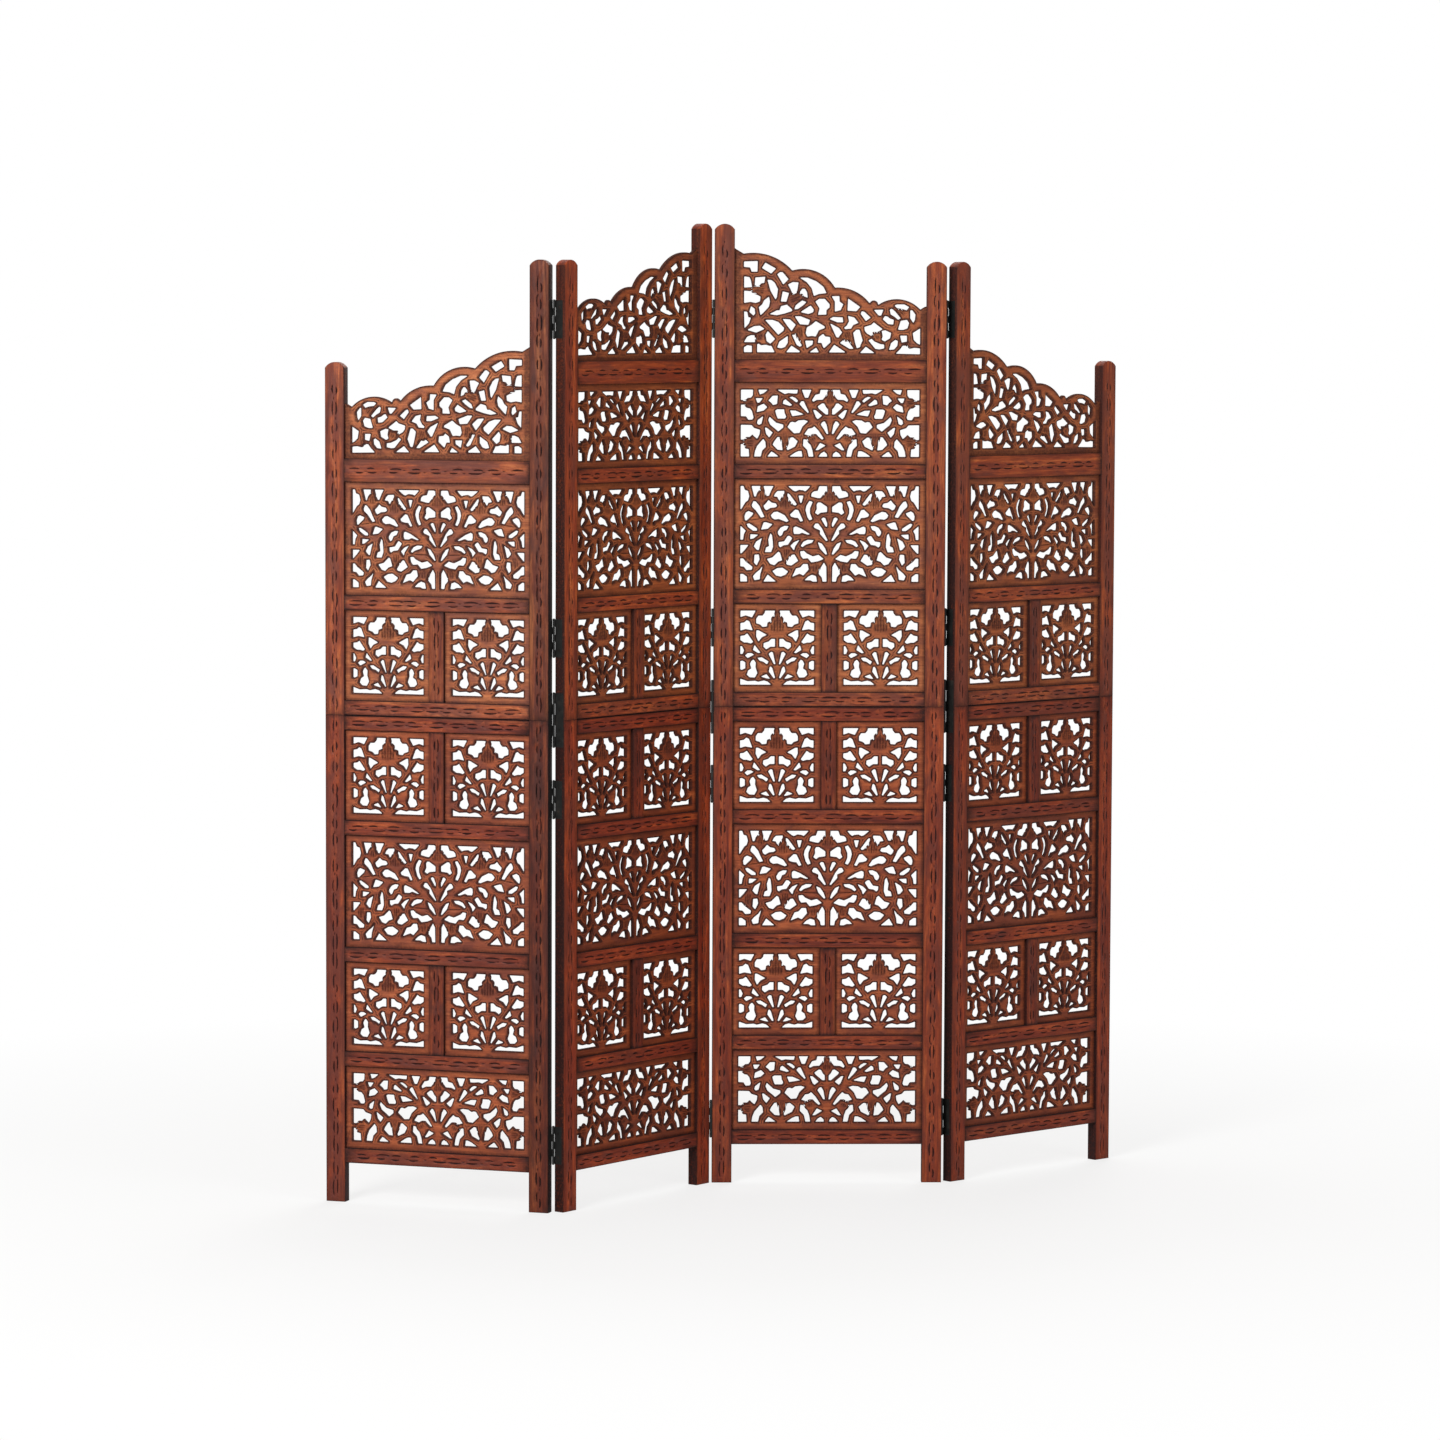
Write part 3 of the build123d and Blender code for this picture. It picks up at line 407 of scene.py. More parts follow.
def thinned(mesh, faces):
    # the same surface with about this many triangles
    holder = bpy.data.objects.new("thinning", mesh)
    scene.collection.objects.link(holder)
    modifier = holder.modifiers.new("thin", "DECIMATE")
    modifier.ratio = min(1.0, faces / (len(mesh.loops) - 2 * len(mesh.polygons)))
    bpy.context.view_layer.update()
    result = bpy.data.meshes.new_from_object(holder.evaluated_get(bpy.context.evaluated_depsgraph_get()))
    result.name = mesh.name
    bpy.data.objects.remove(holder)
    return result


def setAttribute(mesh, name, values):
    attribute = mesh.attributes.new(name, "FLOAT", "POINT")
    attribute.data.foreach_set("value", np.asarray(values, np.float32))


def finishMesh(mesh, material, sharpAngle):
    mesh.materials.clear()
    mesh.materials.append(material)
    mesh.polygons.foreach_set("use_smooth", np.ones(len(mesh.polygons), bool))
    mesh.set_sharp_from_angle(angle=math.radians(sharpAngle))
    mesh.update()


def placePiece(name, mesh, matrix, body, slot, tone, *replaced):
    piece = bpy.data.objects.new(name, mesh)
    piece.color = (*tone, 1.0)
    scene.collection.objects.link(piece)
    piece.matrix_world = matrix
    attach(piece, body)
    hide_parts(*replaced)


def clipped(values):
    return np.clip(values, 0, 1)


def between(values, low, lowFade, high, highFade):
    return clipped((values - low) / lowFade) * clipped((high - values) / highFade)


carving = {
    "step": 0.9,  # grid that the carving is cut on
    "soften": 0.55,  # how round the saw cuts' corners are
    "edgeDrop": 1.7,  # how far the strands fall away at their edges, front and back
    "edgeReach": 3.0,
    "hidden": 2.0,  # how far a board runs on into its housing
    "reach": 8.0,  # how far from a cut its distance counts
    "margin": 7.0,  # how far round the clear opening the board's outline is looked for
    "flatness": 0.01,
    "perMm": 100.0,  # corners nearer than a part of this many are one
    "nearest": 0.02,  # part of a grid step that an edge keeps from the grid's points
    "sharpAngle": 42,
    "faces": {"large": 64000, "short": 48000, "tile": 24000, "crest": 54000},
}
veinCut = {
    "depth": 0.6,
    "half": 1.1,
    "flat": 0.8,  # the middle of a strand is where its slope is under this
    "fade": 0.35,
    "strands": (3.9, 0.6, 7.4, 1.0),  # from and to what distance from edge to middle, and how each end fades
    "stain": 0.9,
    "leafLine": 1.15,
}
petalCut = {
    "depth": 1.5,
    "half": 1.25,  # half the width of a petal cut at its tip
    "foot": 0.55,  # part of that at its foot, and what comes on towards the tip
    "widen": 0.45,
    "runIn": 6.0,  # a cut is at full depth after a part of this many of its length
    "start": 0.16,  # part of a petal's length before the cut, and more at each step outwards
    "startStep": 0.04,
    "endStep": 0.1,
    "endPower": 1.5,
}
notchCut = {
    "deep": 2.5,  # how far a cut between two petals goes through at the flower's outline
    "body": 5.2,  # only where the flower is at least this far from edge to middle
    "half": 0.7,
    "reach": 5.0,
    "start": 0.5,
}
boardStain = {
    "reach": 4.2,  # how far dark stain spreads in from a cut edge
    "fade": 1.8,
    "sawn": 0.6,  # part that the saw cuts have in it, and part that the notches have
    "notched": 0.4,
    "deep": 1.1,
    "frame": 1.1,  # painted shadow where the board meets its frame
    "frameShadeFade": 2.6,
    "bloomReach": 2.0,  # the stain that lies round the petal cuts
    "bloom": 2.9,
    "bloomMost": 0.62,
    # how much darker the board's margin beside its frame is drawn, most on the crest
    "margin": {"large": 0.14, "short": 0.2, "tile": 0.14, "crest": 0.7},
    "marginWidth": 13.5,
    "marginFade": 2.0,
    "worn": (2.8, 1.0, 6.0, 1.5),
}

gridStep = carving["step"]

# petal cuts on the left half: foot, direction, length, spread at the foot and at the tips, number of cuts
flowers = {
    "large": (
        ((169.3, 142), 90, 38, 4.4, 5.6, 5),
        ((42, 150), 90, 24, 4.2, 4.8, 3),
        ((86, 132), 90, 30, 4.6, 5.6, 5),
        ((88, 68), 270, 27, 4.4, 4.8, 3),
        ((17, 66), 270, 25, 4.2, 4.6, 3),
        ((142, 42), 270, 23, 4.2, 5.2, 4),
    ),
    "short": (
        ((169.3, 92), 90, 29, 3.8, 4.2, 4),
        ((30, 100), 176, 23, 3.8, 4.2, 3),
        ((30, 27), 180, 23, 4.2, 4.8, 4),
        ((82, 52), 270, 32, 4.4, 4.8, 5),
        ((139, 24), 120, 21, 4.2, 4.8, 4),
    ),
    "tile": (
        ((70.25, 90), 90, 44, 5.0, 6.2, 5),
    ),
    "crest": (
        ((63, 132), 180, 30, 4.0, 4.6, 4),
        ((97, 111), 22, 30, 4.0, 4.8, 4),
        ((38, 56), 300, 22, 4.0, 4.4, 4),
        ((119, 70), 276, 32, 3.8, 4.2, 4),
        ((206, 60), 288, 30, 4.0, 4.8, 5),
        ((275, 34), 112, 22, 4.0, 4.4, 4),
        ((323, 79), 132, 22, 4.0, 4.4, 4),
        ((327, 42), 275, 17, 3.8, 4.2, 3),
    ),
}
# middle veins of the pointed leaves on the left half, from foot to tip
leafVeins = {
    "large": (((158, 62), (116, 64)), ((52, 121), (16, 117)), ((108, 96), (128, 84))),
    "short": (((100, 116), (82, 112)), ((14, 68), (2, 68))),
}
fieldOrigins = {"large": (12.7, 14.0), "short": (12.7, 14.0), "tile": (13.4, 13.4), "crest": (0.0, 0.0)}


def boardLoops(nodeName, panel, low, high):
    # outlines on the front face of one board, in millimetres of its panel
    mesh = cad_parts[nodeName].data
    turn = np.array(panelPlaces[panel].inverted())
    points = (meshPoints(mesh) @ turn[:3, :3].T + turn[:3, 3]) / mm
    mesh.calc_loop_triangles()
    triangles = np.empty(len(mesh.loop_triangles) * 3, np.int32)
    mesh.loop_triangles.foreach_get("vertices", triangles)
    triangles = triangles.reshape(-1, 3)
    onFront = np.abs(points[:, 1] - screen["boardFront"]) < carving["flatness"]
    inside = (points[:, 2] > low) & (points[:, 2] < high)
    triangles = triangles[(onFront & inside)[triangles].all(1)]
    whole = np.round(points[:, [0, 2]] * carving["perMm"]).astype(np.int64)
    keys, index = np.unique(whole, axis=0, return_inverse=True)
    triangles = index.reshape(-1)[triangles]
    edges = np.concatenate([triangles[:, [0, 1]], triangles[:, [1, 2]], triangles[:, [2, 0]]])
    forward = {(a, b) for a, b in edges.tolist()}
    following = {a: b for a, b in forward if (b, a) not in forward}
    loops = []
    while following:
        start, current = following.popitem()
        loop = [start]
        while current != start:
            loop.append(current)
            current = following.pop(current)
        loops.append(keys[loop] / carving["perMm"])
    loops.sort(key=lambda loop: -np.ptp(loop[:, 0]) * np.ptp(loop[:, 1]))
    return loops[0], loops[1:]


def distanceTo(loop, x, z):
    # signed distance to a closed outline, positive outside it
    best = np.full(x.shape, np.inf)
    odd = np.zeros(x.shape, bool)
    for (startX, startZ), (dx, dz) in zip(loop, np.roll(loop, -1, 0) - loop):
        px, pz = x - startX, z - startZ
        share = clipped((px * dx + pz * dz) / (dx * dx + dz * dz))
        best = np.minimum(best, (px - share * dx) ** 2 + (pz - share * dz) ** 2)
        if dz:
            crosses = (pz < 0) != (pz - dz < 0)
            odd ^= crosses & (px < dx * pz / dz)
    return np.where(odd, -1, 1) * np.sqrt(best)


def shifted(field, axis, reach):
    # the field moved along one axis by every number of grid steps up to reach, either way
    padded = np.pad(field, [(reach, reach) if a == axis else (0, 0) for a in (0, 1)], mode="edge")
    return [np.take(padded, np.arange(k, k + field.shape[axis]), axis) for k in range(2 * reach + 1)]


def softened(field, distance):
    sigma = distance / gridStep
    reach = int(3 * sigma) + 1
    kernel = np.exp(-0.5 * (np.arange(-reach, reach + 1) / sigma) ** 2)
    kernel /= kernel.sum()
    for axis in (0, 1):
        field = sum(weight * moved for weight, moved in zip(kernel, shifted(field, axis, reach)))
    return field


def widest(field, distance):
    # the greatest value within a distance of each place
    for axis in (0, 1):
        field = np.maximum.reduce(shifted(field, axis, int(distance / gridStep)))
    return field


def sampleField(field, xs, zs, x, z):
    column = np.clip((x - xs[0]) / gridStep, 0, field.shape[1] - 1.001)
    row = np.clip((z - zs[0]) / gridStep, 0, field.shape[0] - 1.001)
    c, r = column.astype(int), row.astype(int)
    u, v = column - c, row - r
    return (field[r, c] * (1 - u) * (1 - v) + field[r, c + 1] * u * (1 - v)
            + field[r + 1, c] * (1 - u) * v + field[r + 1, c + 1] * u * v)


def lineDistance(xs, zs, start, end):
    # distance to a line between two points, and the share of its length that each place is at
    x0, z0 = start
    dx, dz = end[0] - x0, end[1] - z0
    gx, gz = np.meshgrid(xs, zs)
    share = clipped(((gx - x0) * dx + (gz - z0) * dz) / (dx * dx + dz * dz))
    return np.hypot(gx - x0 - share * dx, gz - z0 - share * dz), share


def petalLines(kind):
    # the two ends of every petal cut
    look, lines = petalCut, []
    for foot, direction, length, footSpread, tipSpread, count in flowers[kind]:
        angle = math.radians(direction)
        along = np.array((math.cos(angle), math.sin(angle)))
        aside = np.array((along[1], -along[0]))
        for number in range(count):
            place = number - (count - 1) / 2
            base = np.array(foot) + fieldOrigins[kind]
            first = length * (look["start"] + look["startStep"] * abs(place))
            last = length * (1 - look["endStep"] * abs(place) ** look["endPower"])
            start = base + along * first + aside * footSpread * place
            end = base + along * last + aside * tipSpread * place
            lines.append((start, end))
    return lines


def veinLines(kind):
    origin = np.array(fieldOrigins[kind])
    return [(np.array(start) + origin, np.array(end) + origin) for start, end in leafVeins.get(kind, ())]


def onBoard(name, kind, lines, size):
    # a crest has its tall side left or right; every other board is the same on both halves
    other = [[np.array((size[0] - point[0], point[1])) for point in line] for line in lines]
    if kind != "crest":
        return lines + other
    return other if name.endswith("right") else lines


def boardGrid(size):
    # the grid's columns and rows, which run on into the housings
    start = -carving["hidden"] - gridStep
    columns, rows = (int(round((side + 2 * carving["hidden"]) / gridStep)) + 3 for side in size)
    return start + np.arange(columns) * gridStep, start + np.arange(rows) * gridStep


def boardField(xs, zs, size, outer, openings):
    # how far every place of the grid is from a cut edge, below zero where the board is cut away
    reach, origin = carving["reach"], np.array((xs[0], zs[0]))
    field = np.full((len(zs), len(xs)), reach)
    for loop in openings:
        first = np.maximum(((loop.min(0) - reach - origin) / gridStep).astype(int), 0)
        last = np.minimum(((loop.max(0) + reach - origin) / gridStep).astype(int) + 2, (len(xs), len(zs)))
        gx, gz = np.meshgrid(xs[first[0]:last[0]], zs[first[1]:last[1]])
        window = field[first[1]:last[1], first[0]:last[0]]
        np.minimum(window, distanceTo(loop, gx, gz), out=window)
    if outer is not None:
        gx, gz = np.meshgrid(xs, zs)
        distance = -distanceTo(outer, gx, gz)
        beside = (gx < 0) | (gx > size[0]) | (gz < 0)
        field = np.minimum(field, np.where(beside & (distance > 0), reach, distance))
    return softened(field, carving["soften"])


def cutFlowers(xs, zs, lines, field):
    # petal cuts from none to full depth, and the field with a notch sawn in between the petals
    petals = np.zeros_like(field)
    notched = field.copy()
    thin = widest(field, notchCut["reach"]) < notchCut["body"]
    for start, end in lines:
        away, share = lineDistance(xs, zs, start, end)
        wide = petalCut["half"] * (petalCut["foot"] + petalCut["widen"] * share)
        np.maximum(petals, clipped(1 - away / wide) * clipped(share * petalCut["runIn"]), out=petals)
        tip = end + (end - start) / np.hypot(*(end - start)) * notchCut["reach"]
        away, share = lineDistance(xs, zs, start + (end - start) * notchCut["start"], tip)
        slot = np.maximum(away - notchCut["half"], field - notchCut["deep"])
        np.minimum(notched, np.where(thin, field, slot), out=notched)
    return petals, notched


def cutVeins(field):
    # a vein runs along the middle of every broad strand
    slopeZ, slopeX = np.gradient(softened(field, veinCut["half"]), gridStep)
    ridge = clipped((veinCut["flat"] - np.hypot(slopeX, slopeZ)) / veinCut["fade"])
    return ridge * between(field, *veinCut["strands"])


def sheetMesh(name, solid, depth, xs, zs):
    # marching squares: front and back faces wherever the field is above zero, and walls between them
    rows, columns = solid.shape
    inside = solid > 0
    number = np.full(solid.shape, -1)
    number[inside] = np.arange(inside.sum())
    r, c = np.nonzero(inside)
    flat = [np.stack([xs[0] + c * gridStep, zs[0] + r * gridStep], 1)]
    drops = [depth[r, c]]
    count = len(r)
    crossings = []
    for dr, dc in ((0, 1), (1, 0)):
        a = solid[:rows - dr, :columns - dc]
        b = solid[dr:, dc:]
        r, c = np.nonzero((a > 0) != (b > 0))
        share = np.clip(a[r, c] / (a[r, c] - b[r, c]), carving["nearest"], 1 - carving["nearest"])
        x = xs[0] + (c + dc * share) * gridStep
        flat.append(np.stack([x, zs[0] + (r + dr * share) * gridStep], 1))
        drops.append(np.full(len(r), carving["edgeDrop"]))
        table = np.full(solid.shape, -1)
        table[r, c] = count + np.arange(len(r))
        crossings.append(table)
        count += len(r)
    level, upright = crossings
    flat = np.concatenate(flat)
    drops = np.concatenate(drops)

    code = inside[:-1, :-1] * 1 + inside[:-1, 1:] * 2 + inside[1:, 1:] * 4 + inside[1:, :-1] * 8
    polygons = {}
    walls = []
    for case in range(1, 16):
        r, c = np.nonzero(code == case)
        if not len(r):
            continue
        corner = (number[r, c], number[r, c + 1], number[r + 1, c + 1], number[r + 1, c])
        edge = (level[r, c], upright[r, c + 1], level[r + 1, c], upright[r, c])
        ring, leaves, enters = [], [], []
        for k in range(4):
            here, there = case >> k & 1, case >> (k + 1) % 4 & 1
            if here:
                ring.append(corner[k])
            if here != there:
                ring.append(edge[k])
                (leaves if here else enters).append((len(ring) - 1, edge[k]))
        polygons.setdefault(len(ring), []).append(np.stack(ring, 1))
        for position, leaving in leaves:
            later = [e for p, e in enters if p > position] or [enters[0][1]]
            walls.append(np.stack([later[0], leaving], 1))
    walls = np.concatenate(walls)
    front = np.stack([flat[:, 0], drops, flat[:, 1]], 1)
    back = np.stack([flat[:, 0], screen["boardThickness"] - drops, flat[:, 1]], 1)
    faces = []
    for polygon in polygons.values():
        polygon = np.concatenate(polygon)
        faces += [polygon, polygon[:, ::-1] + count]
    faces.append(np.stack([walls[:, 0], walls[:, 1], walls[:, 1] + count, walls[:, 0] + count], 1))
    return meshFromArrays(name, np.concatenate([front, back]) * mm, faces)


def stainBoard(mesh, kind, size, near, deep, x, z):
    # stain gathers along the cut edges and in the veins and petals; a painted shadow lines the board where it
    # meets its frame, and its margin beside the frame is darker
    look = boardStain
    beside = np.minimum(x, size[0] - x)
    framed = np.minimum(beside, z if kind == "crest" else np.minimum(z, size[1] - z))
    edge = (look["reach"] - near) / look["fade"]
    # painted shadow in the recess where the board sits into its frame
    joint = look["frame"] - framed / look["frameShadeFade"]
    # the margin beside the frame is drawn darker
    margin = clipped((look["marginWidth"] - framed) / look["marginFade"]) * look["margin"][kind]
    setAttribute(mesh, "hollow", clipped(np.maximum.reduce((edge, deep * look["deep"], joint, margin))))
    setAttribute(mesh, "proud", between(near, *look["worn"]))


def carvedBoard(name, kind, size, outer, openings):
    # millimetres from the lower left corner of the clear opening, where the mesh starts
    xs, zs = boardGrid(size)
    sawn = boardField(xs, zs, size, outer if kind == "crest" else None, openings)
    petals, field = cutFlowers(xs, zs, onBoard(name, kind, petalLines(kind), size), sawn)
    bloom = softened(petals, boardStain["bloomReach"]) * boardStain["bloom"]
    vein = cutVeins(sawn)
    for start, end in onBoard(name, kind, veinLines(kind), size):
        away = lineDistance(xs, zs, start, end)[0]
        np.maximum(petals, clipped(veinCut["leafLine"] - away / petalCut["half"]), out=petals)
    fall = carving["edgeDrop"] * clipped(1 - field / carving["edgeReach"]) ** 2
    depth = fall + veinCut["depth"] * vein + petalCut["depth"] * petals * clipped(field)

    # the cut-out sheet, with the grid's own border closed
    solid = field.copy()
    solid[[0, -1], :] = -gridStep
    solid[:, [0, -1]] = -gridStep
    mesh = thinned(sheetMesh(name, solid, depth, xs, zs), carving["faces"][kind])
    x, _, z = (meshPoints(mesh) / mm).T
    edges = sawn * boardStain["sawn"] + field * boardStain["notched"]
    cuts = np.maximum.reduce((vein * veinCut["stain"], petals, np.minimum(bloom, boardStain["bloomMost"])))
    near, deep = (sampleField(values, xs, zs, x, z) for values in (edges, cuts))
    stainBoard(mesh, kind, size, near, deep, x, z)
    finishMesh(mesh, carvedWood, carving["sharpAngle"])
    return mesh


lowerLevels = dict(lowerOpenings)
sizes = {
    "large": (clearWidth, screen["rowHeights"]["large"]),
    "short": (clearWidth, screen["rowHeights"]["short"]),
    "tile": (tileWidth, screen["rowHeights"]["tiles"]),
    "crest": (clearWidth, screen["crestHeight"]),
}
# each board's kind, the node and panel that it is read from, and the height of its opening there
boardPlans = {
    "large_tree": ("large", "panel_1_large_trees", 0, lowerLevels["large"]),
    "short_tree": ("short", "panel_1_short_trees", 0, lowerLevels["short"]),
    "lotus_tile": ("tile", "panel_1_lotus_tiles", 0, lowerOpenings[1][1]),
    "crest_tall_right": ("crest", "panel_1_crest", 0, crestBases[0]),
    "crest_tall_left": ("crest", "panel_4_crest", 3, crestBases[3]),
}
boards = {}
for name, (kind, node, panel, level) in boardPlans.items():
    corner, size, margin = np.array((stileWidth, level)), sizes[kind], carving["margin"]
    outer, openings = boardLoops(node, panel, level - margin, level + size[1] + margin)
    if kind == "tile":
        openings = [loop for loop in openings if loop[:, 0].max() < corner[0] + tileWidth]
    boards[name] = carvedBoard(name, kind, size, outer - corner, [loop - corner for loop in openings])
    print(name, len(openings), "openings,", len(boards[name].polygons), "faces")


timber = {
    "round": 1.3,  # radius along the long edges
    "roundSteps": (0.0, 0.12, 0.32, 0.62, 1.0),
    "inset": 0.15,  # the hinge leaves stand this little proud of the edges
    "footRound": 1.5,
    "jointRound": 0.6,
    "domeRound": 1.8,
    "domeRise": 11.0,
    "domeStretch": 45.0,  # length at a stile's top that is drawn into the dome
    "domeClear": 4.0,
    "seamGap": 0.35,
    "overlap": 0.3,  # how far rails and muntins run into the timber that they meet
    "rows": 1.5,  # grid that a timber is cut on: from row to row, and lines across it
    "bandLines": 19,
    "plainLines": 4,
    "sharpAngle": 40,
    "faces": {"lower": 15000, "upper": 14000, "rail": 7000, "crest": 7500, "muntin": 3800},
    "seeds": {"lower": 1, "upper": 3, "rail": 10, "seam": 15, "crest": 20, "muntin": 30},
}
leafCut = {
    "bandHalf": 7.5,
    "pitch": 38.0,  # from one leaf to the next
    "length": 29.0,
    "bow": 4.0,  # how far the two cuts of a leaf bow out
    "bowEnds": 0.72,  # part of the bow at a cut's ends, and what comes on at its middle
    "bowSwell": 0.28,
    "half": 1.7,
    "taper": 0.6,
    "depth": 1.7,
    "endGap": 11.0,
    # how much the carver's hand varies, as parts of the values above or in millimetres
    "firstPlay": (0.0, 6.0),
    "startPlay": (-5.0, 10.0),
    "lengthPlay": (0.5, 1.05),
    "bowPlay": (0.8, 1.2),
    "halfPlay": (0.75, 1.2),
    "depthPlay": (0.7, 1.1),
    "pitchPlay": (0.92, 1.08),
    "nickPlay": (-3.0, 3.0),
    "nickAfter": 2.0,
    "nickRoom": 6.0,
    "nickLength": 5.0,
    "nickHalf": 1.3,
    "nickDepth": 1.2,
}
timberStain = {
    "joint": 2.4,
    "seam": 1.25,  # the line where the upper half stands on the lower
    # painted shade along the rounded long edges: how far it reaches, where it starts and how dark it is at
    # most
    "edge": 1.8,
    "edgeShadeFrom": 1.1,
    "edgeShadeMost": 0.8,
    "bandFrom": 1.5,
    "bandFade": 2.5,
    "face": 0.9,
    "cutSeen": 0.05,
    "cutFrom": 0.2,
    "cutFade": 0.7,
    "worn": (1.2, 1.0, 5.5, 2.5),
    "wornDeep": 0.2,
}


def bandCut(u, v, length, width, random):
    # depth of the row of leaves carved along a timber: each is two bowed cuts, with a nick after it
    look = leafCut
    centre = v - width / 2
    depth = np.zeros_like(u)
    position = look["endGap"] + random.uniform(*look["firstPlay"])
    while position + look["length"] / 2 < length - look["endGap"]:
        for side in (1, -1):
            size = look["length"] * random.uniform(*look["lengthPlay"])
            start = position + random.uniform(*look["startPlay"])
            size = min(size, length - look["endGap"] - start)
            bow = side * look["bow"] * random.uniform(*look["bowPlay"])
            half = look["half"] * random.uniform(*look["halfPlay"])
            deep = look["depth"] * random.uniform(*look["depthPlay"])
            share = (u - start) / size
            swell = np.sin(math.pi * clipped(share))
            across = centre - bow * (look["bowEnds"] + look["bowSwell"] * swell)
            cut = deep * clipped(1 - (across / (half * swell ** look["taper"] + 1e-6)) ** 2)
            depth = np.maximum(depth, cut * (share > 0) * (share < 1))
        nickPlace = position + look["length"] + look["nickAfter"]
        nickSide = random.uniform(*look["nickPlay"])
        if nickPlace + look["nickRoom"] < length - look["endGap"]:
            away = np.hypot((u - nickPlace) / look["nickLength"], (centre - nickSide) / look["nickHalf"])
            depth = np.maximum(depth, look["nickDepth"] * clipped(1 - away))
        position += look["pitch"] * random.uniform(*look["pitchPlay"])
    return depth


def bothCuts(u, v, length, width, seed):
    # the carving on the front and on the back
    random = np.random.default_rng(seed)
    return [bandCut(u, v, length, width, random) for _ in ("front", "back")]


def timberGrid(length, width, ends, gaps):
    # places along and across a timber, closer together where it is rounded and where it is carved
    rounding = np.array(timber["roundSteps"]) * timber["round"]
    bandLow, bandHigh = width / 2 - leafCut["bandHalf"], width / 2 + leafCut["bandHalf"]
    plain = np.linspace(timber["inset"] + timber["round"], bandLow, timber["plainLines"])[1:-1]
    low, high = (np.concatenate([timber["inset"] + rounding + gap, plain]) for gap in gaps)
    across = np.concatenate([low, np.linspace(bandLow, bandHigh, timber["bandLines"]), (width - high)[::-1]])
    starts, stops = (rounding / timber["round"] * radius if radius else np.zeros(1) for radius in ends)
    stops = length - stops[::-1]
    count = int((stops[0] - starts[-1]) / timber["rows"]) + 2
    along = np.concatenate([starts, np.linspace(starts[-1], stops[0], count)[1:-1], stops])
    return np.meshgrid(along, across, indexing="ij")


def domed(u, v, length, width):
    # the last stretch of a stile is drawn out into the arc of its top
    rise, base = timber["domeRise"], length - timber["domeStretch"]
    radius = ((width / 2) ** 2 + rise ** 2) / (2 * rise)
    top = length - radius + np.sqrt(radius ** 2 - np.minimum(np.abs(v - width / 2), width / 2) ** 2)
    return np.where(u > base, base + (u - base) * (top - base) / (length - base), u)


def rounded(distance, radius):
    # how far a face falls away at this distance from its edge
    return radius - np.sqrt(np.maximum(radius ** 2 - np.clip(radius - distance, 0, radius) ** 2, 0))


def closedMesh(name, front, back):
    # two grids of points, joined along their rims
    rows, columns = front.shape[:2]
    count = rows * columns
    index = np.arange(count).reshape(rows, columns)
    grid = np.stack([index[:-1, :-1], index[1:, :-1], index[1:, 1:], index[:-1, 1:]], -1).reshape(-1, 4)
    rim = np.concatenate([index[:-1, 0], index[-1, :-1], index[:0:-1, -1], index[0, :0:-1]])
    after = np.roll(rim, -1)
    walls = np.stack([after, rim, rim + count, after + count], 1)
    points = np.concatenate([front.reshape(-1, 3), back.reshape(-1, 3)]) * mm
    return meshFromArrays(name, points, [np.concatenate([grid, grid[:, ::-1] + count, walls])])


def stainTimber(mesh, length, width, carvedLength, seed, dome, gaps):
    # stain lies in the carving, at the joints and along the seam, and is worn off near the long edges;
    # painted shade darkens the rounded long edges themselves
    look, inset = timberStain, timber["inset"]
    u, y, v = (meshPoints(mesh) / mm).T
    isBack = y > screen["thickness"] / 2
    front, back = bothCuts(u, v, carvedLength, width, seed)
    cut = np.where(isBack, back, front)
    sunk = np.where(isBack, screen["thickness"] - y, y)
    inBand = clipped((leafCut["bandHalf"] + look["bandFrom"] - np.abs(v - width / 2)) / look["bandFade"])
    joint = clipped(1 - u / look["joint"])
    if not dome:
        joint = np.maximum(joint, clipped(1 - (length - u) / look["joint"]))
    for gap, distance in zip(gaps, (v, width - v)):
        if gap:
            line = clipped(1 - (distance - inset - gap) / look["joint"])
            joint = np.maximum(joint, look["seam"] * line)
    edge = np.minimum(v - gaps[0], width - gaps[1] - v) - inset
    # painted shade on the rounded long edges, where they turn from the light
    joint = np.maximum(joint, look["edgeShadeMost"] * clipped(look["edgeShadeFrom"] - edge / look["edge"]))
    onFace = (sunk < timber["round"] * look["face"]) | (cut > look["cutSeen"])
    onEdge = sunk < timber["round"] + look["wornDeep"]
    inCut = clipped((cut - look["cutFrom"]) / look["cutFade"]) * inBand
    setAttribute(mesh, "hollow", clipped(np.maximum(inCut, joint)))
    setAttribute(mesh, "band", inBand * onFace)
    setAttribute(mesh, "proud", between(edge, *look["worn"]) * onEdge)


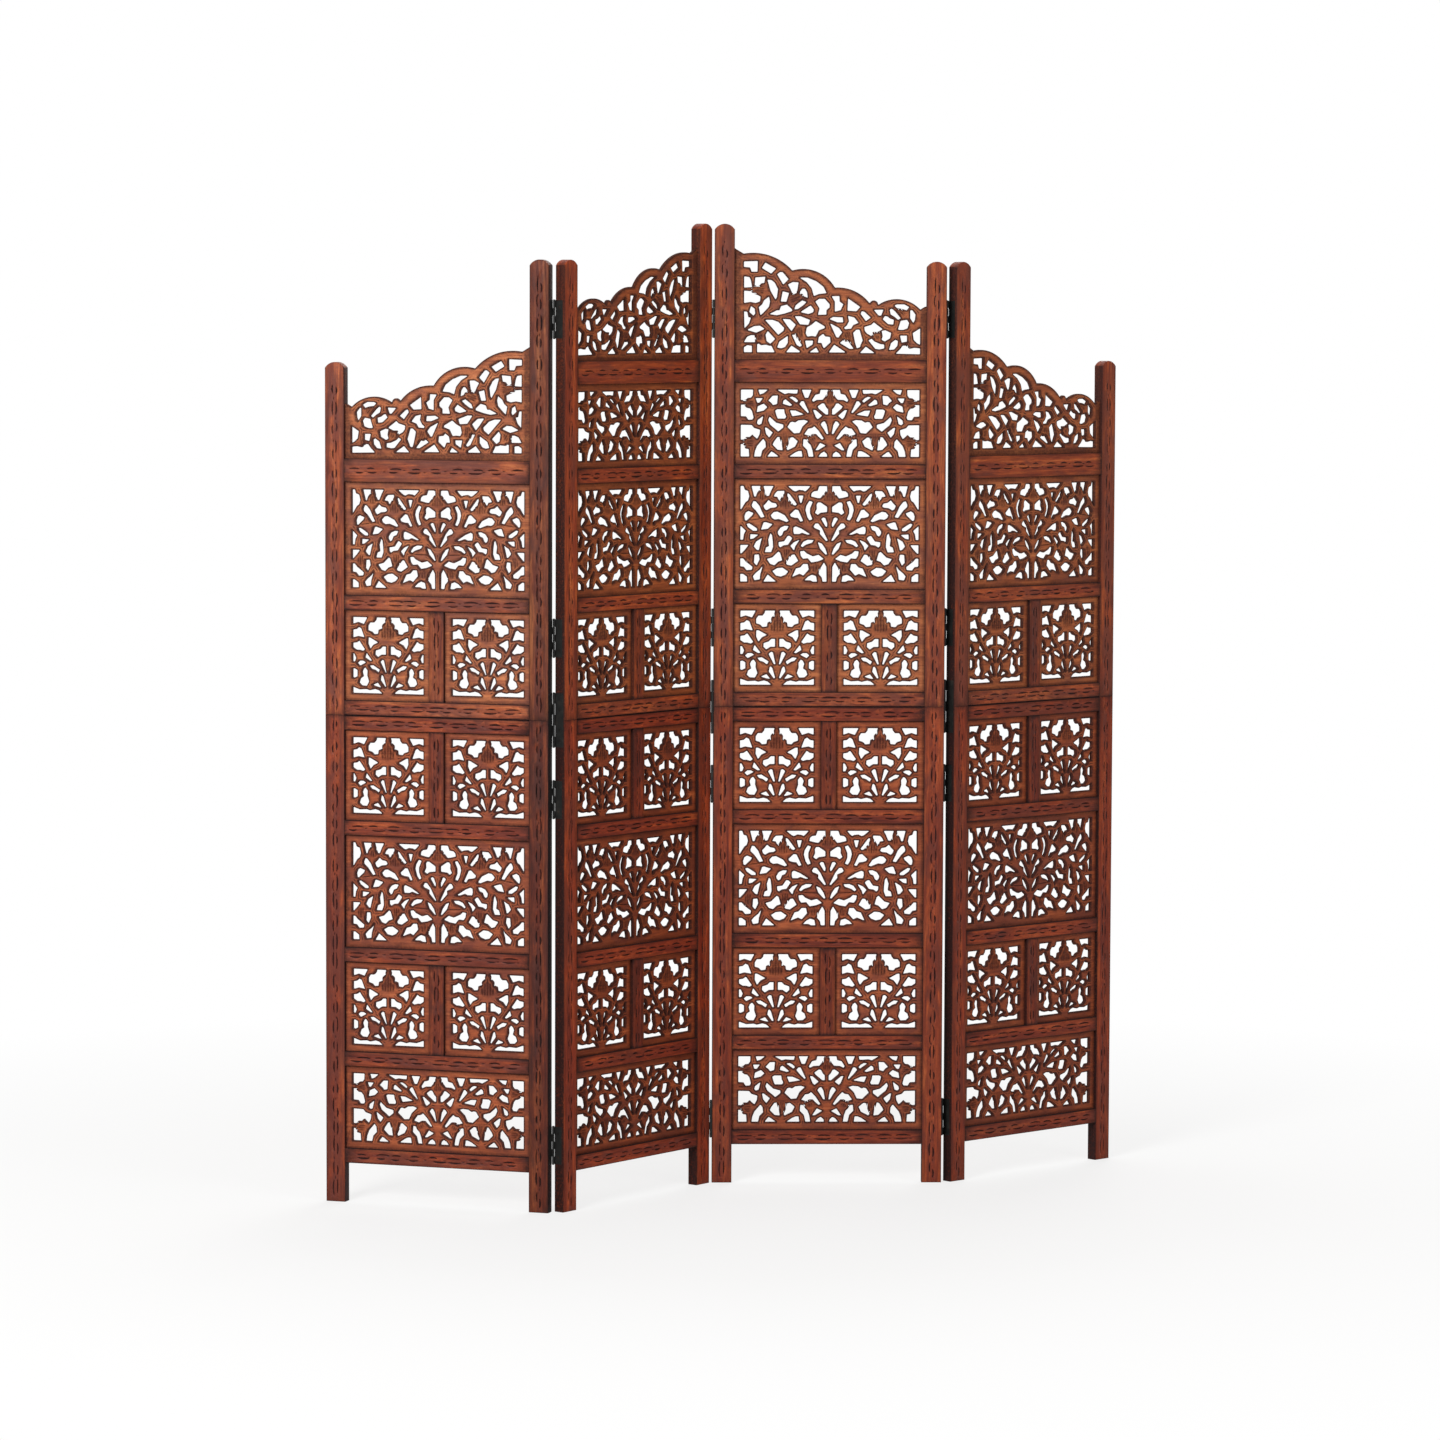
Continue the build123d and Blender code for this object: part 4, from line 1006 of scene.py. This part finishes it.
def timberMesh(name, kind, length, width, seed, ends=(0.0, 0.0), gaps=(0.0, 0.0)):
    # u runs along the timber, v across it; ends are the rounding radii at its two ends,
    # gaps how far the two long edges stand back from the next timber
    dome = ends[1] == timber["domeRound"]
    flatU, v = timberGrid(length, width, ends, gaps)
    u = domed(flatU, v, length, width) if dome else flatU
    fall = rounded(np.minimum(v - gaps[0], width - gaps[1] - v) - timber["inset"], timber["round"])
    for radius, distance in zip(ends, (u, np.maximum(length - flatU, 0))):
        if radius:
            fall = np.maximum(fall, rounded(distance, radius))
    carvedLength = length - (timber["domeRise"] + timber["domeClear"] if dome else 0)
    frontCut, backCut = bothCuts(u, v, carvedLength, width, seed)
    front = np.stack([u, np.maximum(fall, frontCut), v], -1)
    back = np.stack([u, screen["thickness"] - np.maximum(fall, backCut), v], -1)
    mesh = thinned(closedMesh(name, front, back), timber["faces"][kind])
    stainTimber(mesh, length, width, carvedLength, seed, dome, gaps)
    finishMesh(mesh, frameWood, timber["sharpAngle"])
    return mesh


# each timber's mesh: kind, length, width, seed of its carving, rounding of its ends, gaps along its edges
seamGap = timber["seamGap"]
railLength = clearWidth + 2 * timber["overlap"]
muntinLength = screen["rowHeights"]["tiles"] + 2 * timber["overlap"]
lowerEnds = (timber["footRound"], timber["jointRound"])
upperEnds = (timber["jointRound"], timber["domeRound"])
seeds, railHeight = timber["seeds"], screen["railHeight"]
timberPlans = {
    "lower_stile": ("lower", seam, stileWidth, seeds["lower"], lowerEnds),
    "lower_stile_b": ("lower", seam, stileWidth, seeds["lower"] + 1, lowerEnds),
}
for number, (name, top) in enumerate(screen["tops"].items()):
    timberPlans[f"{name}_stile"] = ("upper", top - seam, stileWidth, seeds["upper"] + number, upperEnds)
for number in range(4):
    timberPlans[f"rail_{number}"] = ("rail", railLength, railHeight, seeds["rail"] + number)
for number, (name, gaps) in enumerate((("under", (0.0, seamGap)), ("over", (seamGap, 0.0)))):
    timberPlans[f"rail_{name}"] = ("rail", railLength, railHeight, seeds["seam"] + number, (0.0, 0.0), gaps)
for number in range(2):
    crest = ("crest", railLength, screen["crestRailHeight"], seeds["crest"] + number)
    muntin = ("muntin", muntinLength, screen["muntinWidth"], seeds["muntin"] + number)
    timberPlans[f"crest_rail_{number}"], timberPlans[f"muntin_{number}"] = crest, muntin
timbers = {name: timberMesh(name, *plan) for name, plan in timberPlans.items()}
print("timbers made", len(timbers))

# how dark and how red each part of the screen was stained, and how much painted side light the panels turned
# to the right take
tones = {
    "upper": (0.0, 0.0),
    "lower": (0.13, 0.7),
    "darker": {"panel_1_right": 0.62, "muntin": 0.35},
    # painted light and shade on the panels turned to the right, panel 2 fully and panel 4 by half
    "paintedSideLight": {"panel_2": 1.0, "panel_4": 0.5},
}
upright = Matrix.Rotation(math.radians(-90), 4, "Y")


def halfOf(level):
    return "lower" if level < seam else "upper"


def toneOf(body, level, part=""):
    dark, red = tones[halfOf(level)]
    return dark + tones["darker"].get(part, 0.0), red, tones["paintedSideLight"].get(body, 0.0)


def at(panel, x, z, y=0.0):
    return panelPlaces[panel] @ Matrix.Translation((x * mm, y * mm, z * mm))


def placeStiles(panel, body):
    rights = (stileWidth, screen["width"])
    for side, top, right in zip(("left", "right"), screen["stileTops"][panel], rights):
        lower = timbers["lower_stile" if (side == "left") == (panel % 2 == 0) else "lower_stile_b"]
        for mesh, level in ((lower, 0), (timbers[top + "_stile"], seam)):
            node, place = f"{body}_{halfOf(level)}_{side}_stile", at(panel, right, level) @ upright
            tone = toneOf(body, level, f"{body}_{side}")
            placePiece(f"timber_{node}", mesh, place, body, "frame_wood", tone, node)


def placeRails(panel, body):
    x = stileWidth - timber["overlap"]
    upperRails, _, crestRail = upperStacks[panel]
    besideSeam = {topLowerRail: "under", seam: "over"}
    for number, level in enumerate(lowerRails + [topLowerRail] + upperRails):
        mesh = timbers["rail_" + besideSeam.get(level, str((number * 3 + panel) % 4))]
        name, node = f"{body}_rail_{number + 1}", f"{body}_{halfOf(level)}_rails"
        placePiece(name, mesh, at(panel, x, level), body, "frame_wood", toneOf(body, level), node)
    mesh, place = timbers[f"crest_rail_{panel % 2}"], at(panel, x, crestRail)
    tone = toneOf(body, crestRail)
    placePiece(f"{body}_crest_rail", mesh, place, body, "frame_wood", tone, f"{body}_upper_rails")


def placeTiles(panel, body, number, level):
    middle = (screen["width"] + screen["muntinWidth"]) / 2
    place = at(panel, middle, level - timber["overlap"]) @ upright
    mesh, tone = timbers[f"muntin_{(number + panel) % 2}"], toneOf(body, level, "muntin")
    placePiece(f"{body}_muntin_{number}", mesh, place, body, "frame_wood", tone, f"{body}_muntins")
    tone = toneOf(body, level)
    for side, x in (("left", stileWidth), ("right", middle)):
        name, place = f"{body}_lotus_{number}_{side}", at(panel, x, level, screen["boardFront"])
        placePiece(name, boards["lotus_tile"], place, body, "carved_wood", tone, f"{body}_lotus_tiles")


def placeBoards(panel, body):
    front, counts = screen["boardFront"], {"large": 0, "short": 0, "tiles": 0}
    for row, level in lowerOpenings + upperStacks[panel][1]:
        counts[row] += 1
        if row == "tiles":
            placeTiles(panel, body, counts[row], level)
        else:
            name, node = f"{body}_{row}_tree_{counts[row]}", f"{body}_{row}_trees"
            mesh, place = boards[f"{row}_tree"], at(panel, stileWidth, level, front)
            placePiece(name, mesh, place, body, "carved_wood", toneOf(body, level), node)
    mesh = boards[f"crest_tall_{screen['crestTallSide'][panel]}"]
    place, tone = at(panel, stileWidth, crestBases[panel], front), toneOf(body, seam)
    placePiece(f"{body}_crest_board", mesh, place, body, "carved_wood", tone, f"{body}_crest")


for panel in panels:
    body = f"panel_{panel + 1}"
    placeStiles(panel, body)
    placeRails(panel, body)
    placeBoards(panel, body)
print("pieces placed")

# hinges, plates and screws are the CAD solids
for name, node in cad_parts.items():
    if not node.hide_render:
        for materialSlot in node.material_slots:
            materialSlot.material = blackScrew if name.endswith("screws") else blackIron


studio = {
    "floorColour": linear(236, 235, 233),
    "floorRough": 0.9,
    "floorSize": 40.0,
    "floorWhite": 0.72,  # how much plain white the camera sees in the floor beside the screen
    "whiteFrom": 1.0,  # metres from the middle where the floor starts turning plain white
    "whiteTo": 2.6,
    "world": 0.34,
    "aim": (0, 0, 0.9),
    # each lamp's place, size in metres and watts
    "lamps": {
        "key": ((-3.0, -5.6, 3.0), 2.6, 360.0),
        "fill": ((4.2, -4.4, 2.2), 3.0, 75.0),
        "top": ((0.0, 1.8, 4.6), 3.0, 50.0),
        "back": ((1.6, 5.6, 2.8), 3.0, 110.0),
    },
}


def cameraSees(tree):
    path = tree.nodes.new("ShaderNodeLightPath")
    first = mathNode(tree, "ADD", path.outputs["Is Camera Ray"], path.outputs["Is Glossy Ray"])
    return mathNode(tree, "ADD", first, path.outputs["Is Transmission Ray"], clamp=True)


def mixShaders(tree, amount, first, second, output):
    either = newNode(tree, "MixShader", {0: amount, 1: first, 2: second})
    tree.links.new(either.outputs[0], output.inputs["Surface"])


world = bpy.data.worlds.new("studio")
scene.world = world
world.use_nodes = True
tree = world.node_tree
tree.nodes.clear()
plain = newNode(tree, "Background", {"Color": (1, 1, 1, 1), "Strength": studio["world"]})
white = newNode(tree, "Background", {"Color": (1, 1, 1, 1)})
output = tree.nodes.new("ShaderNodeOutputWorld")
mixShaders(tree, cameraSees(tree), plain.outputs[0], white.outputs[0], output)

floorMaterial, tree, shader = newMaterial("pale_floor")
feed(tree, shader, {"Base Color": studio["floorColour"], "Roughness": studio["floorRough"]})
distance = newNode(tree, "VectorMath", {0: objectPlace(tree)})
distance.operation = "LENGTH"
reach = (studio["whiteFrom"], studio["whiteTo"])
whiteness = rangeNode(tree, distance.outputs["Value"], *reach, studio["floorWhite"], 1.0)
seen = mathNode(tree, "MULTIPLY", cameraSees(tree), whiteness)
glow = tree.nodes.new("ShaderNodeEmission")
output = shader.outputs["BSDF"].links[0].to_node
mixShaders(tree, seen, shader.outputs["BSDF"], glow.outputs[0], output)

floorMesh = bpy.data.meshes.new("floor")
wide = studio["floorSize"]
corners = [(-wide, -wide, 0), (wide, -wide, 0), (wide, wide, 0), (-wide, wide, 0)]
floorMesh.from_pydata(corners, [], [(0, 1, 2, 3)])
floorMesh.materials.append(floorMaterial)
floor = bpy.data.objects.new("floor", floorMesh)
scene.collection.objects.link(floor)
floor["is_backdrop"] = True

for name, (place, size, watts) in studio["lamps"].items():
    light = bpy.data.lights.new(name, "AREA")
    light.shape = "DISK"
    light.size = size
    light.energy = watts
    lamp = bpy.data.objects.new(name, light)
    scene.collection.objects.link(lamp)
    lamp.location = place
    lamp.rotation_euler = (Vector(studio["aim"]) - Vector(place)).to_track_quat("-Z", "Y").to_euler()

view = {
    "place": (-0.017586, -10.49256, 1.71618),
    "pitch": 4.5038,
    "roll": 0.2053,
    "lens": 138.5,
    "sensor": 36.0,
    "farthest": 200.0,
}
cameraData = bpy.data.cameras.new("camera")
cameraData.sensor_width = view["sensor"]
cameraData.lens = view["lens"]
cameraData.clip_end = view["farthest"]
camera = bpy.data.objects.new("camera", cameraData)
scene.collection.objects.link(camera)
pitch = Matrix.Rotation(math.radians(90 - view["pitch"]), 4, "X")
roll = Matrix.Rotation(math.radians(view["roll"]), 4, "Z")
camera.matrix_world = Matrix.Translation(view["place"]) @ (pitch @ roll)
scene.camera = camera
scene.view_settings.view_transform = "Standard"
print("studio made")

size = {"cad": [list(c) for c in cadBox], "visual": [list(c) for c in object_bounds()]}
